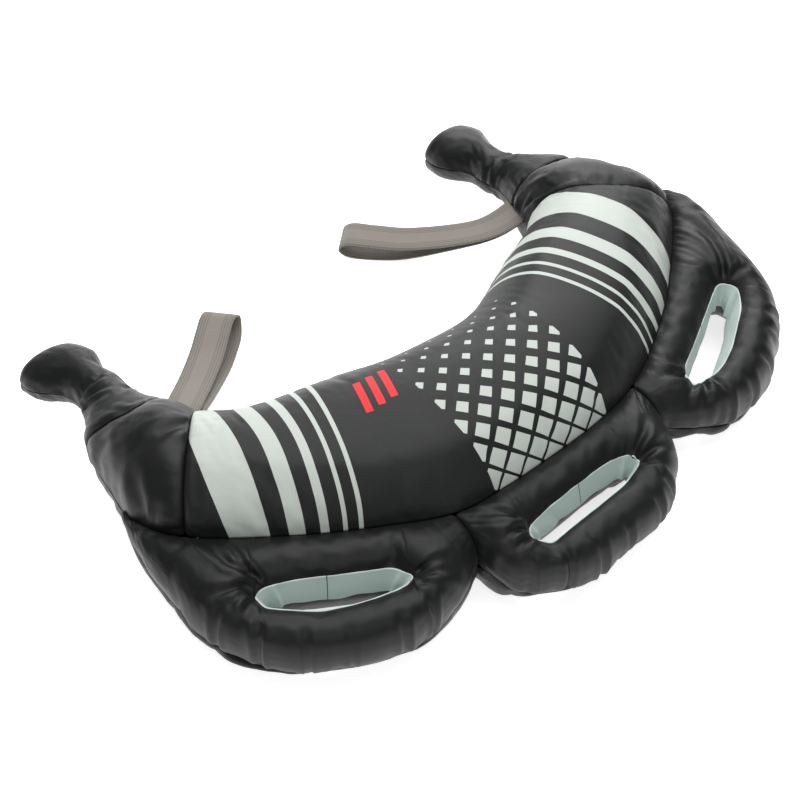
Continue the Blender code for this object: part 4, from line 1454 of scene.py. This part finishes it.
for upper in (True, False):
    side = "top" if upper else "bottom"
    # the fillings show nowhere, so the upper covers stand for them too
    inside = ("sand_pouch_middle", "sand_pouch_left", "sand_pouch_right") if upper else ()
    strips = [bodyStrip(-panelEndLeft, panelEnd, upper, False)]
    addCover("panelCover_" + side, strips, (side + "_panel", "wadding_" + side, *inside), upper, not upper)
    strips = lobeStrips(lobes["middle"][0 if upper else 1], upper, False, bag["step"])
    padding = ("lobe_padding_middle",) if upper else ()
    addCover("lobeCover_middle_" + side, strips, ("lobe_middle_" + side, *padding), upper)
    for flipped in (True, False):
        hand = "left" if flipped else "right"
        end = f"{hand}_{side}"
        strips = lobeStrips(lobes[hand][0 if upper else 1], upper, flipped, bag["step"])
        padding = ("lobe_padding_" + hand,) if upper else ()
        addCover("lobeCover_" + end, strips, ("lobe_" + end, *padding), upper)
        strips = [bodyStrip(panelEndLeft if flipped else panelEnd, rootSeam, upper, flipped)]
        padding = ("shoulder_padding_" + hand,) if upper else ()
        addCover("shoulderCover_" + end, strips, ("shoulder_" + end, *padding), upper, not upper)
        padding = ("grip_padding_" + hand,) if upper else ()
        addCover("gripCover_" + end, [gripStrip(upper, flipped)], ("grip_" + end, *padding), upper)
print("covers cut")

linings = []
for number, name in enumerate(lobes):
    piece, around, tall = slotLining(name, 700 + 10 * number)
    linings.append((piece, "slot_lining_" + name, around, tall))

stuff(sewnPieces)
print("covers stuffed")

for number, (piece, nodes, material, slotName, fill) in enumerate(finishing):
    finishCloth(piece, nodes, material, 100 * number)
print("covers folded and sewn")
for piece, node, around, tall in linings:
    layer = piece.modifiers.new("layer", "SOLIDIFY")
    layer.thickness = lining["thickness"]
    layer.offset = -1
    rounding = piece.modifiers.new("rounding", "SUBSURF")
    rounding.levels = rounding.render_levels = 1
    piece.data.materials.append(pale)
    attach(piece, "bag")
    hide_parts(node)

for hand in ("left", "right"):
    piece = webbingLoop("webbingLoop_" + hand, hand)
    piece.data.materials.append(webbing)
    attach(piece, "strap_" + hand)
    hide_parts("strap_" + hand)
print("pieces ready")

# Studio
studio = {
    "azimuth": -40.73,
    "elevation": 48.05,
    "distance": 1.506,
    "lens": 79.02,
    "sensor": 36,
    "lookAt": (-0.0116, 0.030, 0.0),
    # name, place, target, size and power of each lamp
    "lamps": (
        ("overhead", (0.25, 0.3, 1.9), (0, 0, 0), (2.2, 1.8), 47),
        ("back", (1.3, 1.3, 1.0), (0, 0, 0.05), (1.5, 0.8), 27),
        ("front", (-0.9, -1.3, 1.5), (0, 0, 0.05), (1.2, 1.0), 9),
    ),
    "surroundings": 0.30,
    "floorReach": 6,
    "floorGlow": 0.72,
}


def aim(holder, place, way):
    holder.location = place
    holder.rotation_mode = "QUATERNION"
    holder.rotation_quaternion = way.to_track_quat("-Z", "Y")


def addCamera():
    azimuth, elevation = math.radians(studio["azimuth"]), math.radians(studio["elevation"])
    level = math.cos(elevation)
    back = Vector((math.sin(azimuth) * level, -math.cos(azimuth) * level, math.sin(elevation)))
    camera = addToScene("camera", bpy.data.cameras.new("camera"))
    camera.data.lens = studio["lens"]
    camera.data.sensor_width = studio["sensor"]
    aim(camera, Vector(studio["lookAt"]) + back * studio["distance"], -back)
    bpy.context.scene.camera = camera


def addLamp(name, place, target, size, power):
    lamp = bpy.data.lights.new(name, "AREA")
    lamp.shape = "RECTANGLE"
    lamp.size, lamp.size_y = size
    lamp.energy = power
    aim(addToScene(name, lamp), place, Vector(target) - Vector(place))


def addFloor():
    # White acrylic lit from below, as on a light table: it keeps the shadows faint
    surface = {"Base Color": linear("#f4f4f4"), "Roughness": 0.9, "Specular IOR Level": 0.2}
    surface |= {"Emission Color": linear("#ffffff"), "Emission Strength": studio["floorGlow"]}
    data = bpy.data.meshes.new("floor")
    reach = studio["floorReach"]
    corners = [(-reach, -reach, 0), (reach, -reach, 0), (reach, reach, 0), (-reach, reach, 0)]
    data.from_pydata(corners, [], [(0, 1, 2, 3)])
    data.materials.append(startMaterial("acrylicFloor", surface)[0])
    addToScene("floor", data)


addCamera()
addFloor()
for lamp in studio["lamps"]:
    addLamp(*lamp)
world = bpy.data.worlds.new("studio")
world.use_nodes = True
glow = world.node_tree.nodes["Background"].inputs
glow["Color"].default_value = linear("#ffffff")
glow["Strength"].default_value = studio["surroundings"]
bpy.context.scene.world = world
bpy.context.scene.view_settings.view_transform = "Standard"
